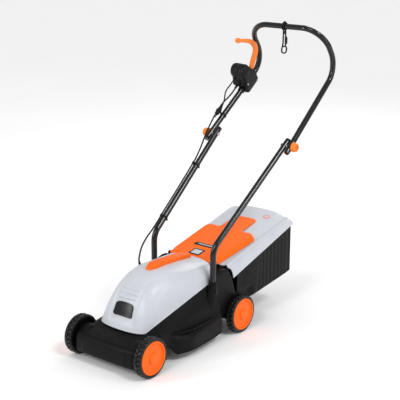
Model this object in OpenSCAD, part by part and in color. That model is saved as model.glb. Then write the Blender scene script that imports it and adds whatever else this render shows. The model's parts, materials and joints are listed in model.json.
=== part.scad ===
// Corded electric rotary lawn mower with a rear grass box and a two-stage tube handle.
// Millimetres, +Z up. The nose points to -Y and the handle to +Y.
// The origin lies on the ground under the middle of the mower.
// Inside the modules lengths are measured from the front axle; place() moves them to the origin.

/* [Wheels] */
// Outside diameter of a wheel
wheel_d = 140; // [136:1:144]
// Width of a wheel's tread
wheel_w = 31; // [26:1:33]
// Distance between the front and rear axles
wheelbase = 498; // [490:1:505]
// Diameter of the axle rods
axle_d = 10; // [8:0.5:12]

/* [Cutting] */
// Diameter of the circle that the blade sweeps
blade_d = 320; // [280:5:326]
// Height of the blade's cutting edge above the ground
cut_h = 45; // [42:1:50]
// Place of the blade shaft behind the front axle
shaft_y = 225; // [222:1:228]

/* [Handle] */
// Diameter of the handle tubes
tube_d = 22; // [21:0.5:22]
// Wall of the handle tubes
tube_wall = 1.2; // [0.8:0.1:2]
// Width across the lower tubes at the deck
stance = 274; // [270:1:276]
// Height of the fold bolt
fold_z = 651; // [646:1:656]
// Place of the fold bolt behind the front axle
fold_y = 758; // [752:1:762]

/* [Shells] */
// Wall of the moulded shells
wall = 3; // [2.5:0.1:3.5]

/* [Hidden] */
$fn = 64;
mid_y = 496.5;
tube_r = tube_d / 2;
wheel_r = wheel_d / 2;
tread_in = 144;
tread_out = tread_in + wheel_w;
shaft = [0, shaft_y];
axle_r = axle_d / 2;
screw_ring = 61.8;
post_at = [[85, 120], [95, 296]];
fit = 0.05;
// handle: foot, bend and fold point of a lower tube, then the upper handle's corners (right side)
foot = [stance / 2, 364, 137];
knee = [stance / 2, 364, 347];
pivot_low = [160.3, fold_y, fold_z];
low_top = pivot_low + 30 * unit(pivot_low - knee);
pivot_up = [185.5, fold_y, fold_z];
elbow = [172, 1083, 900];
up_end = pivot_up + 34 * unit(pivot_up - elbow);
grip_top = [172, 975, 1056];
leg = unit(elbow - pivot_up);
leg_angle = atan2(leg[2], leg[1]);
leg_lean = asin(-leg[0]);
// point of the left leg where the switch case starts
case_at = flip(pivot_up + 237.4 * leg);
lead_r = 3;
// place and direction of the lead's way into the hood
hood_in = [-95.5, 241, 261];
hood_way = unit([-7.5, 1, 23]);
// flap hinge
hinge_y = 414;
hinge_z = 274;
lid_slope = 10.8;

// ---- helpers ----
function unit(v) = v / norm(v);
function lerp(a, b, t) = a + (b - a) * t;
// points of a circle between two angles
function arc(cx, cy, r, a0, a1, n) =
  [for (i = [0:n]) let (a = a0 + (a1 - a0) * i / n) [cx + r * cos(a), cy + r * sin(a)]];

module place() {
  translate([0, -mid_y, 0]) children();
}

module mirrored() {
  children();
  mirror([1, 0, 0]) children();
}

// extrudes a (y, z) outline along X, centred on the middle plane
module across(width) {
  rotate([90, 0, 90]) linear_extrude(width, center = true) children();
}

// a cylinder along X from x0 to x1 at (y, z)
module rod_x(x0, x1, y, z, r) {
  translate([x0, y, z]) rotate([0, 90, 0]) cylinder(r = r, h = x1 - x0);
}

// a thin (x, z) slab standing at y, used as one section of a hull
module slab(y, pts) {
  translate([0, y, 0]) rotate([90, 0, 0]) linear_extrude(0.5, center = true) polygon(pts);
}

// a symmetric (x, z) outline from its right-hand half
function both(pts) = concat(pts, [for (i = [len(pts) - 1:-1:0]) [-pts[i][0], pts[i][1]]]);

// a point mirrored to the other side
function flip(p) = [-p[0], p[1], p[2]];

// a straight round bar between two points
module bar(a, b, r) {
  d = b - a;
  translate(a) rotate([0, acos(d[2] / norm(d)), atan2(d[1], d[0])]) cylinder(r = r, h = norm(d));
}

// points along one bend of radius R at corner b between a and c
function bend(a, b, c, R, n) =
  let (u = unit(a - b), v = unit(c - b), half = acos(u * v) / 2, o = b + unit(u + v) * (R / sin(half)),
       x = unit(b + u * R / tan(half) - o), w = unit(cross(x, b + v * R / tan(half) - o)), y = cross(w, x))
  [for (i = [0:n]) let (t = (180 - 2 * half) * i / n) o + R * (cos(t) * x + sin(t) * y)];

// closed tube with n sides swept along a list of points; ref is a direction that the path never takes
module sweep(path, r, n = 8, ref = [1, 0, 0]) {
  m = len(path);
  function dir(i) = unit(path[min(i + 1, m - 1)] - path[max(i - 1, 0)]);
  pts = [for (i = [0:m - 1]) let (t = dir(i), s = unit(cross(t, ref)), w = cross(t, s))
    for (k = [0:n - 1]) path[i] + r * (cos(360 * k / n) * s + sin(360 * k / n) * w)];
  sides = [for (i = [0:m - 2]) for (k = [0:n - 1])
    [i * n + k, (i + 1) * n + k, (i + 1) * n + (k + 1) % n, i * n + (k + 1) % n]];
  ends = [[for (k = [0:n - 1]) k], [for (k = [n - 1:-1:0]) (m - 1) * n + k]];
  polyhedron(pts, concat(sides, ends), convexity = 4);
}

// smooth curve through hand-chosen points, s steps to each stretch
function hermite(p, q, u, v, t) =
  (2 * pow(t, 3) - 3 * pow(t, 2) + 1) * p + (pow(t, 3) - 2 * pow(t, 2) + t) * u
  + (3 * pow(t, 2) - 2 * pow(t, 3)) * q + (pow(t, 3) - pow(t, 2)) * v;
function slope(p, i) = (p[min(i + 1, len(p) - 1)] - p[max(i - 1, 0)]) / 2;
function smooth(p, s) = concat(
  [for (i = [0:len(p) - 2]) for (j = [0:s - 1]) hermite(p[i], p[i + 1], slope(p, i), slope(p, i + 1), j / s)],
  [p[len(p) - 1]]);

// ---- deck ----
deck_floor = 27;
roof_z = 100;
function seam_z(y) = 124 + (y - 45) * 96 / 337;
mouth_y = 474;

module deck_outer() {
  // nose between the front wheels
  hull() {
    slab(-56, both([[124, 48], [124, 78]]));
    slab(-45, both([[132, 30], [132, 93]]));
    slab(40, both([[139, 30], [134, 96], [104, 122.5]]));
  }
  // shoulders that carry the hood
  hull() {
    slab(40, both([[139, 60], [134, 96], [104, 122.5]]));
    slab(384, both([[150, 60], [147, 120], [136, 190], [122, 220.5]]));
  }
  // round skirt over the blade, and its straight rear part
  translate([0, shaft_y, deck_floor]) cylinder(r = 172, h = 63, $fn = 128);
  translate([0, shaft_y, 90]) cylinder(r1 = 172, r2 = 150, h = 22, $fn = 128);
  translate([-160, shaft_y, deck_floor]) cube([320, 163, 63]);
  // tunnel to the grass box
  across(240) polygon([[330, 106], [384, 220.5], [396, 256], [mouth_y, 262],
                       [mouth_y, 102], [392, 46], [330, 46]]);
}

module deck_inner() {
  // motor bay: flared lower part, open at the top, ending in front of the tunnel's sloping roof
  intersection() {
    union() {
      hull() {
        slab(30, both([[112, 103], [90, 112]]));
        slab(60, both([[120, 103], [95, 118]]));
        slab(384, both([[142, 103], [131, 184], [115, 206]]));
      }
      hull() {
        slab(34, both([[88, 110], [88, 200]]));
        slab(384, both([[112, 180], [112, 300]]));
      }
    }
    across(400) polygon([[0, 103], [327, 103], [380, 220], [380, 330], [0, 330]]);
  }
  // room inside the side walls
  hull() {
    slab(50, both([[132, -1], [130, 90]]));
    slab(380, both([[145, -1], [143, 97]]));
  }
  // cutting chamber and the tunnel behind it
  translate([0, shaft_y, -1]) cylinder(r = 167, h = 101, $fn = 128);
  translate([-156, shaft_y, -1]) cube([312, 159, 87]);
  across(232) polygon([[225, -1], [225, roof_z], [338, roof_z], [391, 216], [401, 252], [480, 257.6],
                       [480, 106], [388, 50], [384, -1]]);
  // hollow behind the bumper
  across(256) polygon([[-41, 20], [-50, 46], [-50, 76], [-38, 90], [30, 92], [44, 60], [44, 20]]);
}

// side cheek outline (y, z), drawn inward by inset
function cheek(inset) = concat(
  [[364 + inset, 150], [364 + inset, 224], [380 + inset / 2, 252 - inset]],
  arc(395, 168, 101 - inset, 84, -14, 14),
  [[512 - inset, 92 - inset], [520 - inset, 80], [520 - inset, 58], [508, 42 + inset],
   [484, 42 + inset], [440, 60 + inset], [388, 80 + inset]]);

module cheeks() {
  mirrored() {
    translate([138.5, 0, 0]) across(5) polygon(cheek(0));
    intersection() {
      translate([129, 0, 0]) across(18) difference() {
        polygon(cheek(0));
        polygon(cheek(4));
      }
      translate([0, 364, 100]) cube([200, 200, 200]);
    }
  }
}

module deck() {
  color("#17171a") place() difference() {
    union() {
      difference() {
        deck_outer();
        deck_inner();
      }
      cheeks();
      mirrored() {
        // sockets of the lower tubes
        translate([foot[0], foot[1], 110]) cylinder(r = 15, h = 122);
        // drums round the front axle ends
        difference() {
          rod_x(102, 139, 0, wheel_r, 42);
          rod_x(101, 134, 0, wheel_r, 38);
        }
        // hinge lugs
        translate([98.5, hinge_y - 7, 255]) cube([9, 14, hinge_z - 255]);
        rod_x(98.5, 107.5, hinge_y, hinge_z, 7);
      }
      // seat of the lower motor bearing
      translate([0, shaft_y, roof_z - 2]) cylinder(r = 70, h = 10);
    }
    mirrored() {
      // three axle heights at each end
      for (dz = [-18, 0, 18]) {
        rod_x(120, 160, 0, wheel_r + dz, axle_r + fit);
        rod_x(120, 160, wheelbase, wheel_r + dz * 0.8, axle_r + fit);
      }
      translate([foot[0], foot[1], foot[2]]) cylinder(r = tube_r + fit, h = 120);
      rod_x(110, 160, foot[1], 190, 2.2);
      rod_x(90, 110, hinge_y, hinge_z, 2.55);
      for (p = post_at) translate([p[0], p[1], 90]) cylinder(r = 2.6, h = 20);
    }
    translate([0, shaft_y, 90]) cylinder(r = 18.1, h = 30);
    for (a = [45:90:315]) translate([screw_ring * cos(a), shaft_y + screw_ring * sin(a), 90])
      cylinder(r = 2.6, h = 30);
  }
}

// ---- hood ----
nose_a = 157;
nose_h = 169;
crest_z = 290;
hood_end = 404;
function hood_top(y) = crest_z - (y - 175) * 0.034;
function hood_crest() = concat(
  [[18, 115.2]],
  [for (i = [0:14]) let (a = 90 * i / 14)
    [175 - nose_a * pow(cos(a), 1.25), 121 + nose_h * pow(sin(a), 1.25)]],
  [[hood_end, hood_top(hood_end)]]);
function hood_front_outline() = both(concat(
  [[124, 100], [121.5, 205]], arc(86, 244, 28, 15, 62, 5), [[58, 291.5], [50, 300]]));
function hood_plan() = both([[0, 17.6], [40, 22], [78, 32], [100, 45], [121, 382], [122, hood_end + 1]]);

module hood_solid() {
  intersection() {
    across(300) polygon(concat(hood_crest(), [[hood_end, seam_z(hood_end)], [40, 122.8]]));
    translate([0, 450, 0]) rotate([90, 0, 0]) linear_extrude(450) polygon(hood_front_outline());
    translate([0, 0, 90]) linear_extrude(250) polygon(hood_plan());
  }
}

module hood_hollow() {
  intersection() {
    across(300) offset(delta = -wall) polygon(concat([[18, 60]], hood_crest(), [[hood_end, 60]]));
    translate([0, 450, 0]) rotate([90, 0, 0]) linear_extrude(450) offset(delta = -wall)
      polygon(concat([[124, 60]], hood_front_outline(), [[-124, 60]]));
    translate([0, 0, 60]) linear_extrude(250) offset(delta = -wall) polygon(hood_plan());
  }
}

badge_at = [0, 43.5, 190];
badge_tilt = 64;

module badge_shape(t) {
  translate(badge_at) rotate([badge_tilt, 0, 0]) linear_extrude(t)
    polygon([[-45, -25], [45, -25], [39, 25], [-39, 25]]);
}

module motor_hood() {
  color("#c3c6cf") place() difference() {
    union() {
      difference() {
        hood_solid();
        hood_hollow();
      }
      // screw posts down to the deck
      intersection() {
        mirrored() for (p = post_at) translate([p[0], p[1], 103.1]) cylinder(r = 6, h = 200);
        union() {
          hood_solid();
          translate([-120, 60, 103]) cube([240, 300, 110]);
        }
      }
    }
    mirrored() for (p = post_at) translate([p[0], p[1], 103]) cylinder(r = 2.5, h = 22);
    // rear end sits on the tunnel
    across(241) polygon([[383.8, 200], [383.8, 220.8], [395.8, 256.3], [410, 257.4], [410, 200]]);
    // cooling slots in the rear edge, hidden below the flap's front
    for (i = [-3:3]) translate([i * 24 - 8, hood_end - 8, 240]) cube([16, 20, 26]);
    // way in for the lead, on the left shoulder
    bar(hood_in - 20 * hood_way, hood_in + 30 * hood_way, 7.52);
  }
}

module carry_grip() {
  color("#ee4f12") place() translate([0, 172, hood_top(172)]) rotate([-1.95, 0, 0]) translate([0, 0, 0.01])
    linear_extrude(17) polygon([[-11, 0], [11, 0], [20, 16], [20, 214], [-20, 214], [-20, 16]]);
}

module hood_badge() {
  color("#141416") place() badge_shape(3.5);
}

module hood_screws() {
  color("#9a9aa0") place() mirrored() for (p = post_at) {
    translate([p[0], p[1], 96.9]) cylinder(r = 5, h = 3);
    translate([p[0], p[1], 96.9]) cylinder(r = 2.4, h = 27);
  }
}

// ---- motor and blade ----
module motor_housing() {
  color("#8b8d92") place() translate([shaft[0], shaft[1], 0]) difference() {
    union() {
      translate([0, 0, 108]) cylinder(r = 68, h = 4);
      translate([0, 0, 108]) cylinder(r = 56, h = 108);
      translate([0, 0, 216]) cylinder(r1 = 56, r2 = 44, h = 6);
    }
    translate([0, 0, 118]) cylinder(r = 52, h = 90);
    translate([0, 0, 107]) cylinder(r = 18.1, h = 4);
    translate([0, 0, 107]) cylinder(r = 9, h = 20);
    translate([0, 0, 205]) cylinder(r = 13.1, h = 10);
    translate([0, 0, 205]) cylinder(r = 8, h = 30);
    for (a = [45:90:315]) rotate(a) translate([screw_ring, 0, 100]) cylinder(r = 2.6, h = 20);
    for (a = [0:30:330]) rotate(a) translate([34, -3, 200]) cube([12, 6, 40]);
  }
}

module stator() {
  color("#a4582c") place() translate([shaft[0], shaft[1], 0]) difference() {
    union() {
      translate([0, 0, 130]) cylinder(r = 51.9, h = 60);
      translate([0, 0, 122]) cylinder(r = 47, h = 76);
    }
    translate([0, 0, 120]) cylinder(r = 34, h = 80);
  }
}

module upper_bearing() {
  color("#b9bcc0") place() translate([shaft[0], shaft[1], 206]) difference() {
    cylinder(r = 13, h = 9);
    translate([0, 0, -1]) cylinder(r = 5 + fit, h = 11);
  }
}

module lower_bearing() {
  color("#b9bcc0") place() translate([shaft[0], shaft[1], 100]) difference() {
    cylinder(r = 18, h = 10.9);
    translate([0, 0, -1]) cylinder(r = 7 + fit, h = 13);
  }
}

module motor_screws() {
  color("#9a9aa0") place() for (a = [45:90:315])
    translate([screw_ring * cos(a), shaft_y + screw_ring * sin(a), 112]) {
      cylinder(r = 5, h = 3.5);
      translate([0, 0, -13]) cylinder(r = 2.4, h = 14);
    }
}

module rotor() {
  color("#7d8086") place() translate([shaft[0], shaft[1], 0]) {
    translate([0, 0, cut_h + 4]) cylinder(r = 7, h = 117 - cut_h - 4);
    translate([0, 0, 117]) cylinder(r = 8, h = 15);
    translate([0, 0, 130]) cylinder(r = 33.4, h = 60);
    translate([0, 0, 190]) cylinder(r = 8, h = 12);
    translate([0, 0, 202]) cylinder(r = 5, h = 36);
  }
}

module cooling_fan() {
  color("#22242a") place() translate([shaft[0], shaft[1], 0]) {
    difference() {
      union() {
        translate([0, 0, 226]) cylinder(r = 44, h = 2);
        translate([0, 0, 226]) cylinder(r = 10, h = 12);
        for (a = [0:40:320]) rotate(a) translate([9, -0.9, 227]) cube([34, 1.8, 11]);
      }
      translate([0, 0, 220]) cylinder(r = 5, h = 30);
    }
  }
}

module blade_hub() {
  color("#2b2d31") place() translate([shaft[0], shaft[1], cut_h + 4]) difference() {
    union() {
      cylinder(r = 26, h = 6);
      cylinder(r = 15, h = 26);
    }
    translate([0, 0, -1]) cylinder(r = 7, h = 40);
  }
}

module blade() {
  r = blade_d / 2;
  color("#aeb2b8") place() translate([shaft[0], shaft[1], cut_h]) difference() {
    intersection() {
      union() {
        translate([-r, -24, 0]) cube([2 * r, 48, 4]);
        // raised trailing wings
        for (s = [0, 180]) rotate(s) translate([r - 62, 15, 3.5]) rotate([38, 0, 0]) cube([60, 16, 3]);
      }
      cylinder(r = r, h = 40, $fn = 128);
    }
    translate([0, 0, -1]) cylinder(r = 4.1, h = 8);
    // ground cutting edges
    for (s = [0, 180]) rotate(s) translate([r - 75, -26, -1]) rotate([-24, 0, 0])
      translate([0, -4, -4]) cube([80, 8, 6]);
  }
}

module blade_bolt() {
  color("#9a9aa0") place() translate([shaft[0], shaft[1], 0]) {
    translate([0, 0, cut_h - 9.5]) cylinder(r = 7.5, h = 7.5, $fn = 6);
    translate([0, 0, cut_h - 2]) cylinder(r = 14, h = 2);
    translate([0, 0, cut_h - 2]) cylinder(r = 4.05, h = 6);
  }
}

// ---- axles and wheels ----
module axle(y) {
  color("#9da0a5") place() rod_x(-tread_out + 3, tread_out - 3, y, wheel_r, axle_r);
}

module front_axle() {
  axle(0);
}

module rear_axle() {
  axle(wheelbase);
}

module axle_nuts() {
  color("#b9bcc0") place() mirrored() for (y = [0, wheelbase]) difference() {
    rod_x(167.4, 171.4, y, wheel_r, 9);
    rod_x(160, 180, y, wheel_r, axle_r);
  }
}

// wheel body turned round its axle: tread, web and hub, outer face towards +X
module wheel_body() {
  rotate([0, 90, 0]) rotate_extrude($fn = 128) polygon(concat(
    [[axle_r + fit, tread_in + 2], [14, tread_in + 2], [14, 153], [52, 153], [55, 150],
     [57, tread_in + 1], [66, tread_in]],
    arc(66, tread_in + 4, 4, -60, 0, 3),
    arc(66, tread_out - 4, 4, 0, 60, 3),
    [[66, tread_out], [59.5, tread_out], [59, 166], [20, 166], [16, 161], [16, 167],
     [axle_r + fit, 167]]));
}

// hub cap: shallow dish with a raised middle
module cap_body() {
  rotate([0, 90, 0]) rotate_extrude($fn = 128) polygon(concat(
    [[0, 175.5], [13, 175.5], [18, 172], [50, 169], [52, 166.3], [57, 166.3], [58, 168], [58.4, 173.5]],
    arc(55.4, 174.5, 3, 0, 90, 4),
    [[50, 176.5], [24, 176.4], [19, 177.4]],
    arc(10, 172.9, 8, 35, 90, 4),
    [[0, 180.9]]));
}

module wheel(side, y) {
  place() translate([0, y, wheel_r]) mirror([side < 0 ? 1 : 0, 0, 0]) children();
}

module wheel_front_left() { color("#151517") wheel(-1, 0) wheel_body(); }
module wheel_front_right() { color("#151517") wheel(1, 0) wheel_body(); }
module wheel_rear_left() { color("#151517") wheel(-1, wheelbase) wheel_body(); }
module wheel_rear_right() { color("#151517") wheel(1, wheelbase) wheel_body(); }
module cap_front_left() { color("#ee4f12") wheel(-1, 0) cap_body(); }
module cap_front_right() { color("#ee4f12") wheel(1, 0) cap_body(); }
module cap_rear_left() { color("#ee4f12") wheel(-1, wheelbase) cap_body(); }
module cap_rear_right() { color("#ee4f12") wheel(1, wheelbase) cap_body(); }

// ---- rear flap ----
// frame whose Y axis runs along the lid's slope from the flap hinge
module on_lid() {
  place() translate([0, hinge_y, hinge_z]) rotate([lid_slope, 0, 0]) children();
}

flap_top = 7.6;
flap_len = 241;
tab_len = 350;
tab_w = 104;

module flap_pin() {
  color("#9a9aa0") place() rod_x(-107, 107, hinge_y, hinge_z, 2.5);
}

module flap_spring() {
  color("#8f9298") place() difference() {
    rod_x(24, 40, hinge_y, hinge_z, 4.6);
    rod_x(20, 44, hinge_y, hinge_z, 2.6);
  }
}

module rear_flap() {
  color("#ee4f12") {
    place() difference() {
      rod_x(-97.5, 97.5, hinge_y, hinge_z, 7);
      rod_x(-98, 98, hinge_y, hinge_z, 2.55);
      rod_x(22, 42, hinge_y, hinge_z, 9);
    }
    on_lid() difference() {
      union() {
        // flat top with rounded rear corners, and the finger tab
        translate([0, 0, flap_top - 3.5]) linear_extrude(3.5) union() {
          polygon(both([[97, 4], [97, 225], [94, 236], [86, flap_len]]));
          polygon(both([[tab_w / 2, flap_len - 2], [tab_w / 2, tab_len - 16], [tab_w / 2 - 18, tab_len]]));
        }
        // sides that lean out over the lid's shoulders
        mirrored() translate([0, 20, 0]) rotate([-90, 0, 0]) linear_extrude(202)
          polygon([[95, -flap_top], [97.5, -flap_top], [119, 13], [117, 15], [95, -flap_top + 3.5]]);
        // stiffening rim under the tab
        translate([-tab_w / 2, flap_len, flap_top - 6]) cube([tab_w, 3, 5]);
      }
      // finger slot near the front edge
      translate([-52, 74, flap_top - 1.2]) cube([104, 20, 5]);
    }
  }
}

module flap_labels() {
  color("#141416") on_lid() {
    translate([-51.9, 74.1, flap_top - 1.2]) cube([103.8, 19.8, 1.6]);
    translate([-25, 8, flap_top]) cube([50, 44, 0.6]);
  }
}

// ---- grass box ----
lid_z0 = 276.6;
function lid_z(y) = lid_z0 + (y - 425) * 0.19;
function lid_edge(y) = 218 + (y - 477) * 0.302;
function box_floor(y) = 94 + (y - 518) * 0.122;
function box_half(y) = 143 + (y - 500) * 0.0113;

// half outline of the lid at y, drawn in by t
function lid_half(y, t) = [
  [150 - t, lid_edge(y)], [150 - t, lid_edge(y) + 6], [134 - t * 0.6, lid_z(y) - 30 - t],
  [122 - t * 0.6, lid_z(y) - 22 - t], [93 - t * 0.4, lid_z(y) - t]];

module lid_form(t) {
  hull() {
    slab(474 + t, both(lid_half(474, t)));
    slab(640, both(lid_half(640, t)));
  }
  hull() {
    slab(640, both(lid_half(640, t)));
    slab(800, both(lid_half(800, t)));
  }
  hull() {
    slab(800, both(lid_half(800, t)));
    slab(838 - t, both([for (p = lid_half(838, t)) [p[0] * 0.94, p[1]]]));
    slab(846 - t, both([for (p = lid_half(846, t)) [p[0] * 0.88, p[1] - 4]]));
  }
}

module box_lid() {
  color("#c3c6cf") place() difference() {
    union() {
      difference() {
        lid_form(0);
        lid_form(wall);
      }
      // screw posts
      intersection() {
        lid_form(1);
        for (x = [-120, 120]) for (y = [540, 780]) translate([x, y, 200]) cylinder(r = 5, h = 200);
      }
    }
    // open underside, cut along the lid's lower edge
    across(400) polygon([[460, 0], [460, lid_edge(460)], [860, lid_edge(860)], [860, 0]]);
    // open front above the tunnel
    translate([-144, 460, 200]) cube([288, 20, 64]);
    for (x = [-120, 120]) for (y = [540, 780]) translate([x, y, lid_edge(y) - 5]) cylinder(r = 2, h = 22);
  }
}

module box_form(t) {
  // neck behind the tunnel's mouth, then the wider main part
  hull() for (y = [485, 505])
    slab(y + t, both([[118 - t, 104 + t], [118 - t, lid_edge(485) + t]]));
  hull() {
    slab(518 + t, both([[136 - t, box_floor(518) + t], [137.5 - t, 130]]));
    slab(500 + t, both([[141 - t, 165], [box_half(500) - t, lid_edge(500) + t]]));
    slab(836 - t, both([[140 - t, box_floor(836) + t], [box_half(836) - t, lid_edge(836) + t]]));
    slab(844 - t, both([[132 - t, box_floor(844) + 8 + t], [138 - t, lid_edge(844) + t]]));
  }
}

module box_body() {
  color("#1c1b1d") place() difference() {
    union() {
      difference() {
        box_form(0);
        box_form(wall);
        translate([-141, 505, 215]) cube([282, 326, 200]);
        // mouth
        translate([-108, 440, 114]) cube([216, 120, 126]);
        across(400) polygon([[440, lid_edge(440)], [900, lid_edge(900)], [900, 600], [440, 600]]);
      }
      // collar that enters the tunnel
      difference() {
        translate([-113, 462, 109]) cube([226, 40, 134]);
        translate([-110, 450, 112]) cube([220, 60, 128]);
      }
      // screw ears under the lid
      for (x = [-120, 120]) for (y = [540, 780])
        translate([x, y, lid_edge(y) - 30]) cylinder(r = 5, h = 28.2);
      mirrored() for (y = [540, 780])
        translate([118, y - 2, lid_edge(y) - 30]) cube([box_half(y) - 119.5, 4, 26]);
    }
    for (x = [-120, 120]) for (y = [540, 780]) translate([x, y, 150]) cylinder(r = 2, h = 200);
  }
}

module box_screws() {
  color("#9a9aa0") place() for (x = [-120, 120]) for (y = [540, 780]) {
    translate([x, y, lid_edge(y) - 32.6]) cylinder(r = 4.5, h = 2.5);
    translate([x, y, lid_edge(y) - 31]) cylinder(r = 1.95, h = 44);
  }
}

// ---- handle tubes ----
tube_sides = 20;
tube_line = concat([foot], bend(foot, knee, pivot_low, 60, 5), [low_top]);

// hollow tube along a path; the inner sweep runs past both open ends
module tube(path, ref = [1, 0, 0]) {
  m = len(path) - 1;
  inner = concat([path[0] + 2 * unit(path[0] - path[1])], [for (i = [1:m - 1]) path[i]],
                 [path[m] + 2 * unit(path[m] - path[m - 1])]);
  difference() {
    sweep(path, tube_r, tube_sides, ref);
    sweep(inner, tube_r - tube_wall, 12, ref);
  }
}

module lower_tube() {
  difference() {
    tube(tube_line);
    rod_x(100, 200, fold_y, fold_z, 3.05);
    rod_x(100, 200, foot[1], 190, 2.25);
  }
}

module lower_tube_right() { color("#0d0d0f") place() lower_tube(); }
module lower_tube_left() { color("#0d0d0f") place() mirror([1, 0, 0]) lower_tube(); }

module tube_screws() {
  color("#9a9aa0") place() mirrored() {
    rod_x(123, 153, foot[1], 190, 2.15);
    rod_x(152.2, 155, foot[1], 190, 4.5);
  }
}

module pivot_bolts() {
  color("#b9bcc0") place() mirrored() {
    rod_x(145.6, 148.8, fold_y, fold_z, 7.5);
    rod_x(148, 208, fold_y, fold_z, 3);
    rod_x(171.6, 174.2, fold_y, fold_z, 8);
  }
}

// lobed knob round the fold bolt
module knob() {
  difference() {
    union() {
      rod_x(197, 200, fold_y, fold_z, 12);
      translate([200, fold_y, fold_z]) rotate([0, 90, 0]) linear_extrude(13) union() {
        circle(r = 15.5);
        for (a = [0:72:288]) rotate(a) translate([14, 0]) circle(r = 5);
      }
      rod_x(213, 215, fold_y, fold_z, 13);
    }
    rod_x(190, 208.5, fold_y, fold_z, 3.05);
  }
}

module knob_right() { color("#ee5a1e") place() knob(); }
module knob_left() { color("#ee5a1e") place() mirror([1, 0, 0]) knob(); }

half_line = concat([up_end], bend(up_end, elbow, grip_top, 79, 7),
                   bend(elbow, grip_top, flip(grip_top), 91, 8));
handle_line = concat(half_line, [for (i = [len(half_line) - 1:-1:0]) flip(half_line[i])]);

module upper_handle() {
  color("#0d0d0f") place() difference() {
    tube(handle_line, [0, 0.98, -0.17]);
    mirrored() rod_x(150, 200, fold_y, fold_z, 3.05);
  }
}

// cord hook hung on the top bar
module cord_hook() {
  color("#101012") place() translate([0, grip_top[1], grip_top[2]]) difference() {
    union() {
      rotate([0, 90, 0]) cylinder(r = tube_r + 3.6, h = 12, center = true);
      translate([-6, -2.5, tube_r]) cube([12, 5, 9]);
      translate([-7, -3, -83]) cube([4, 6, 75]);
      translate([3, -3, -83]) cube([4, 6, 75]);
      translate([5, -4, -70]) cube([7, 8, 32]);
      translate([0, 0, -92]) rotate([90, 0, 0]) cylinder(r = 13, h = 6, center = true);
    }
    rotate([0, 90, 0]) cylinder(r = tube_r + 0.4, h = 40, center = true);
    translate([0, 0, -92]) rotate([90, 0, 0]) cylinder(r = 9, h = 20, center = true);
  }
}

// ---- switch on the left leg ----
// upper end of the motor lead, and its way out of the case
lead_top = [-195.4, 932, 806.5];
gland_at = lead_top + [-0.1, 10, 7.9];
gland_way = unit(-[-0.1, 10, 7.9]);
// frame on the leg: X across, Y up along the leg, Z square to it and towards the nose
module on_leg() {
  place() translate(case_at) rotate([leg_angle, 0, 0]) children();
}

case_in = 32;
case_out = -36.8;
case_screw_at = [[12, 22], [66, -8]];

// outlines are (along the leg, away from the leg)
module case_outline(inset = 0) {
  polygon(concat(
    arc(8, -3, 13 - inset, 180, 270, 5), arc(68, -3, 13 - inset, 270, 360, 5),
    arc(70, 36, 14 - inset, 0, 90, 5), arc(42, 62, 29 - inset, 60, 200, 12)));
}

module case_shell(x0, x1) {
  difference() {
    translate([(x0 + x1) / 2, 0, 0]) across(x1 - x0) case_outline();
    translate([(x0 + x1) / 2, 0, 0]) across(x1 - x0 - 2 * wall) case_outline(2.4);
  }
}

module tube_bore() {
  rotate([-90, 0, -leg_lean]) cylinder(r = tube_r + 0.3, h = 400, center = true);
}

module case_cuts() {
  tube_bore();
  // slot that the lever swings in
  translate([13.5, 62, 16]) cube([17, 60, 60]);
  translate([13.5, 40, 44]) cube([17, 60, 60]);
}

module case_outer() {
  color("#131315") difference() {
    on_leg() difference() {
      union() {
        intersection() {
          case_shell(case_out, 8);
          translate([-100, -100, -100]) cube([100 - 0.1, 300, 300]);
        }
        // clamp saddle round the tube
        intersection() {
          translate([-15, -4, -16]) cube([14.9, 96, 31]);
          across(200) case_outline(1);
        }
      }
      tube_bore();
      // way out of the mains tail
      translate([-20.5, 4, 48.5]) rotate([90, 0, 0]) cylinder(r = 4, h = 40, center = true);
    }
    // way out of the motor lead
    place() bar(gland_at - 6 * gland_way, gland_at + 30 * gland_way, 7.52);
  }
}

module case_inner() {
  color("#161619") on_leg() difference() {
    union() {
      intersection() {
        case_shell(-8, case_in);
        translate([0.1, -100, -100]) cube([100, 300, 300]);
      }
      intersection() {
        translate([0.1, -4, -16]) cube([14.9, 96, 31]);
        across(200) case_outline(1);
      }
    }
    case_cuts();
    rod_x(8, 40, 70, 38, 3.05);
    rod_x(20, 60, 36, 62, 8.2);
    for (p = case_screw_at) rod_x(13, 50, p[0], p[1], 1.8);
  }
}

module case_screws() {
  color("#9a9aa0") on_leg() for (p = case_screw_at) {
    rod_x(14, case_in, p[0], p[1], 1.7);
    rod_x(case_in, case_in + 1.6, p[0], p[1], 3.6);
  }
}

module lever_pin() {
  color("#9a9aa0") on_leg() rod_x(11, case_in - 0.5, 70, 38, 3);
}

// hand lever: hub, arm that sweeps forward, and a rounded end
lever_line = [[70, 38], [84, 54], [108, 68], [133, 82], [144, 104], [135, 132], [113, 160],
              [91, 181], [75.5, 196.5]];

module lever_arm() {
  pts = smooth([for (p = lever_line) [p[0], p[1], 0]], 3);
  n = len(pts);
  function along(i) = unit(pts[min(i + 1, n - 1)] - pts[max(i - 1, 0)]);
  function side(i, w) = [pts[i][0] - along(i)[1] * w, pts[i][1] + along(i)[0] * w];
  function half_w(i) = lerp(10, 6, i / (n - 1));
  polygon(concat([for (i = [0:n - 1]) side(i, half_w(i))], [for (i = [n - 1:-1:0]) side(i, -half_w(i))]));
}

module switch_lever() {
  color("#ee6a24") on_leg() difference() {
    union() {
      translate([22, 0, 0]) across(14) lever_arm();
      rod_x(15, 29, 70, 38, 10);
      rod_x(14, 30, 75.5, 196.5, 10);
    }
    rod_x(0, 60, 70, 38, 3.05);
  }
}

module lever_spring() {
  color("#8f9298") on_leg() difference() {
    rod_x(11.2, 14.4, 70, 38, 6);
    rod_x(10, 16, 70, 38, 3.2);
  }
}

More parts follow.
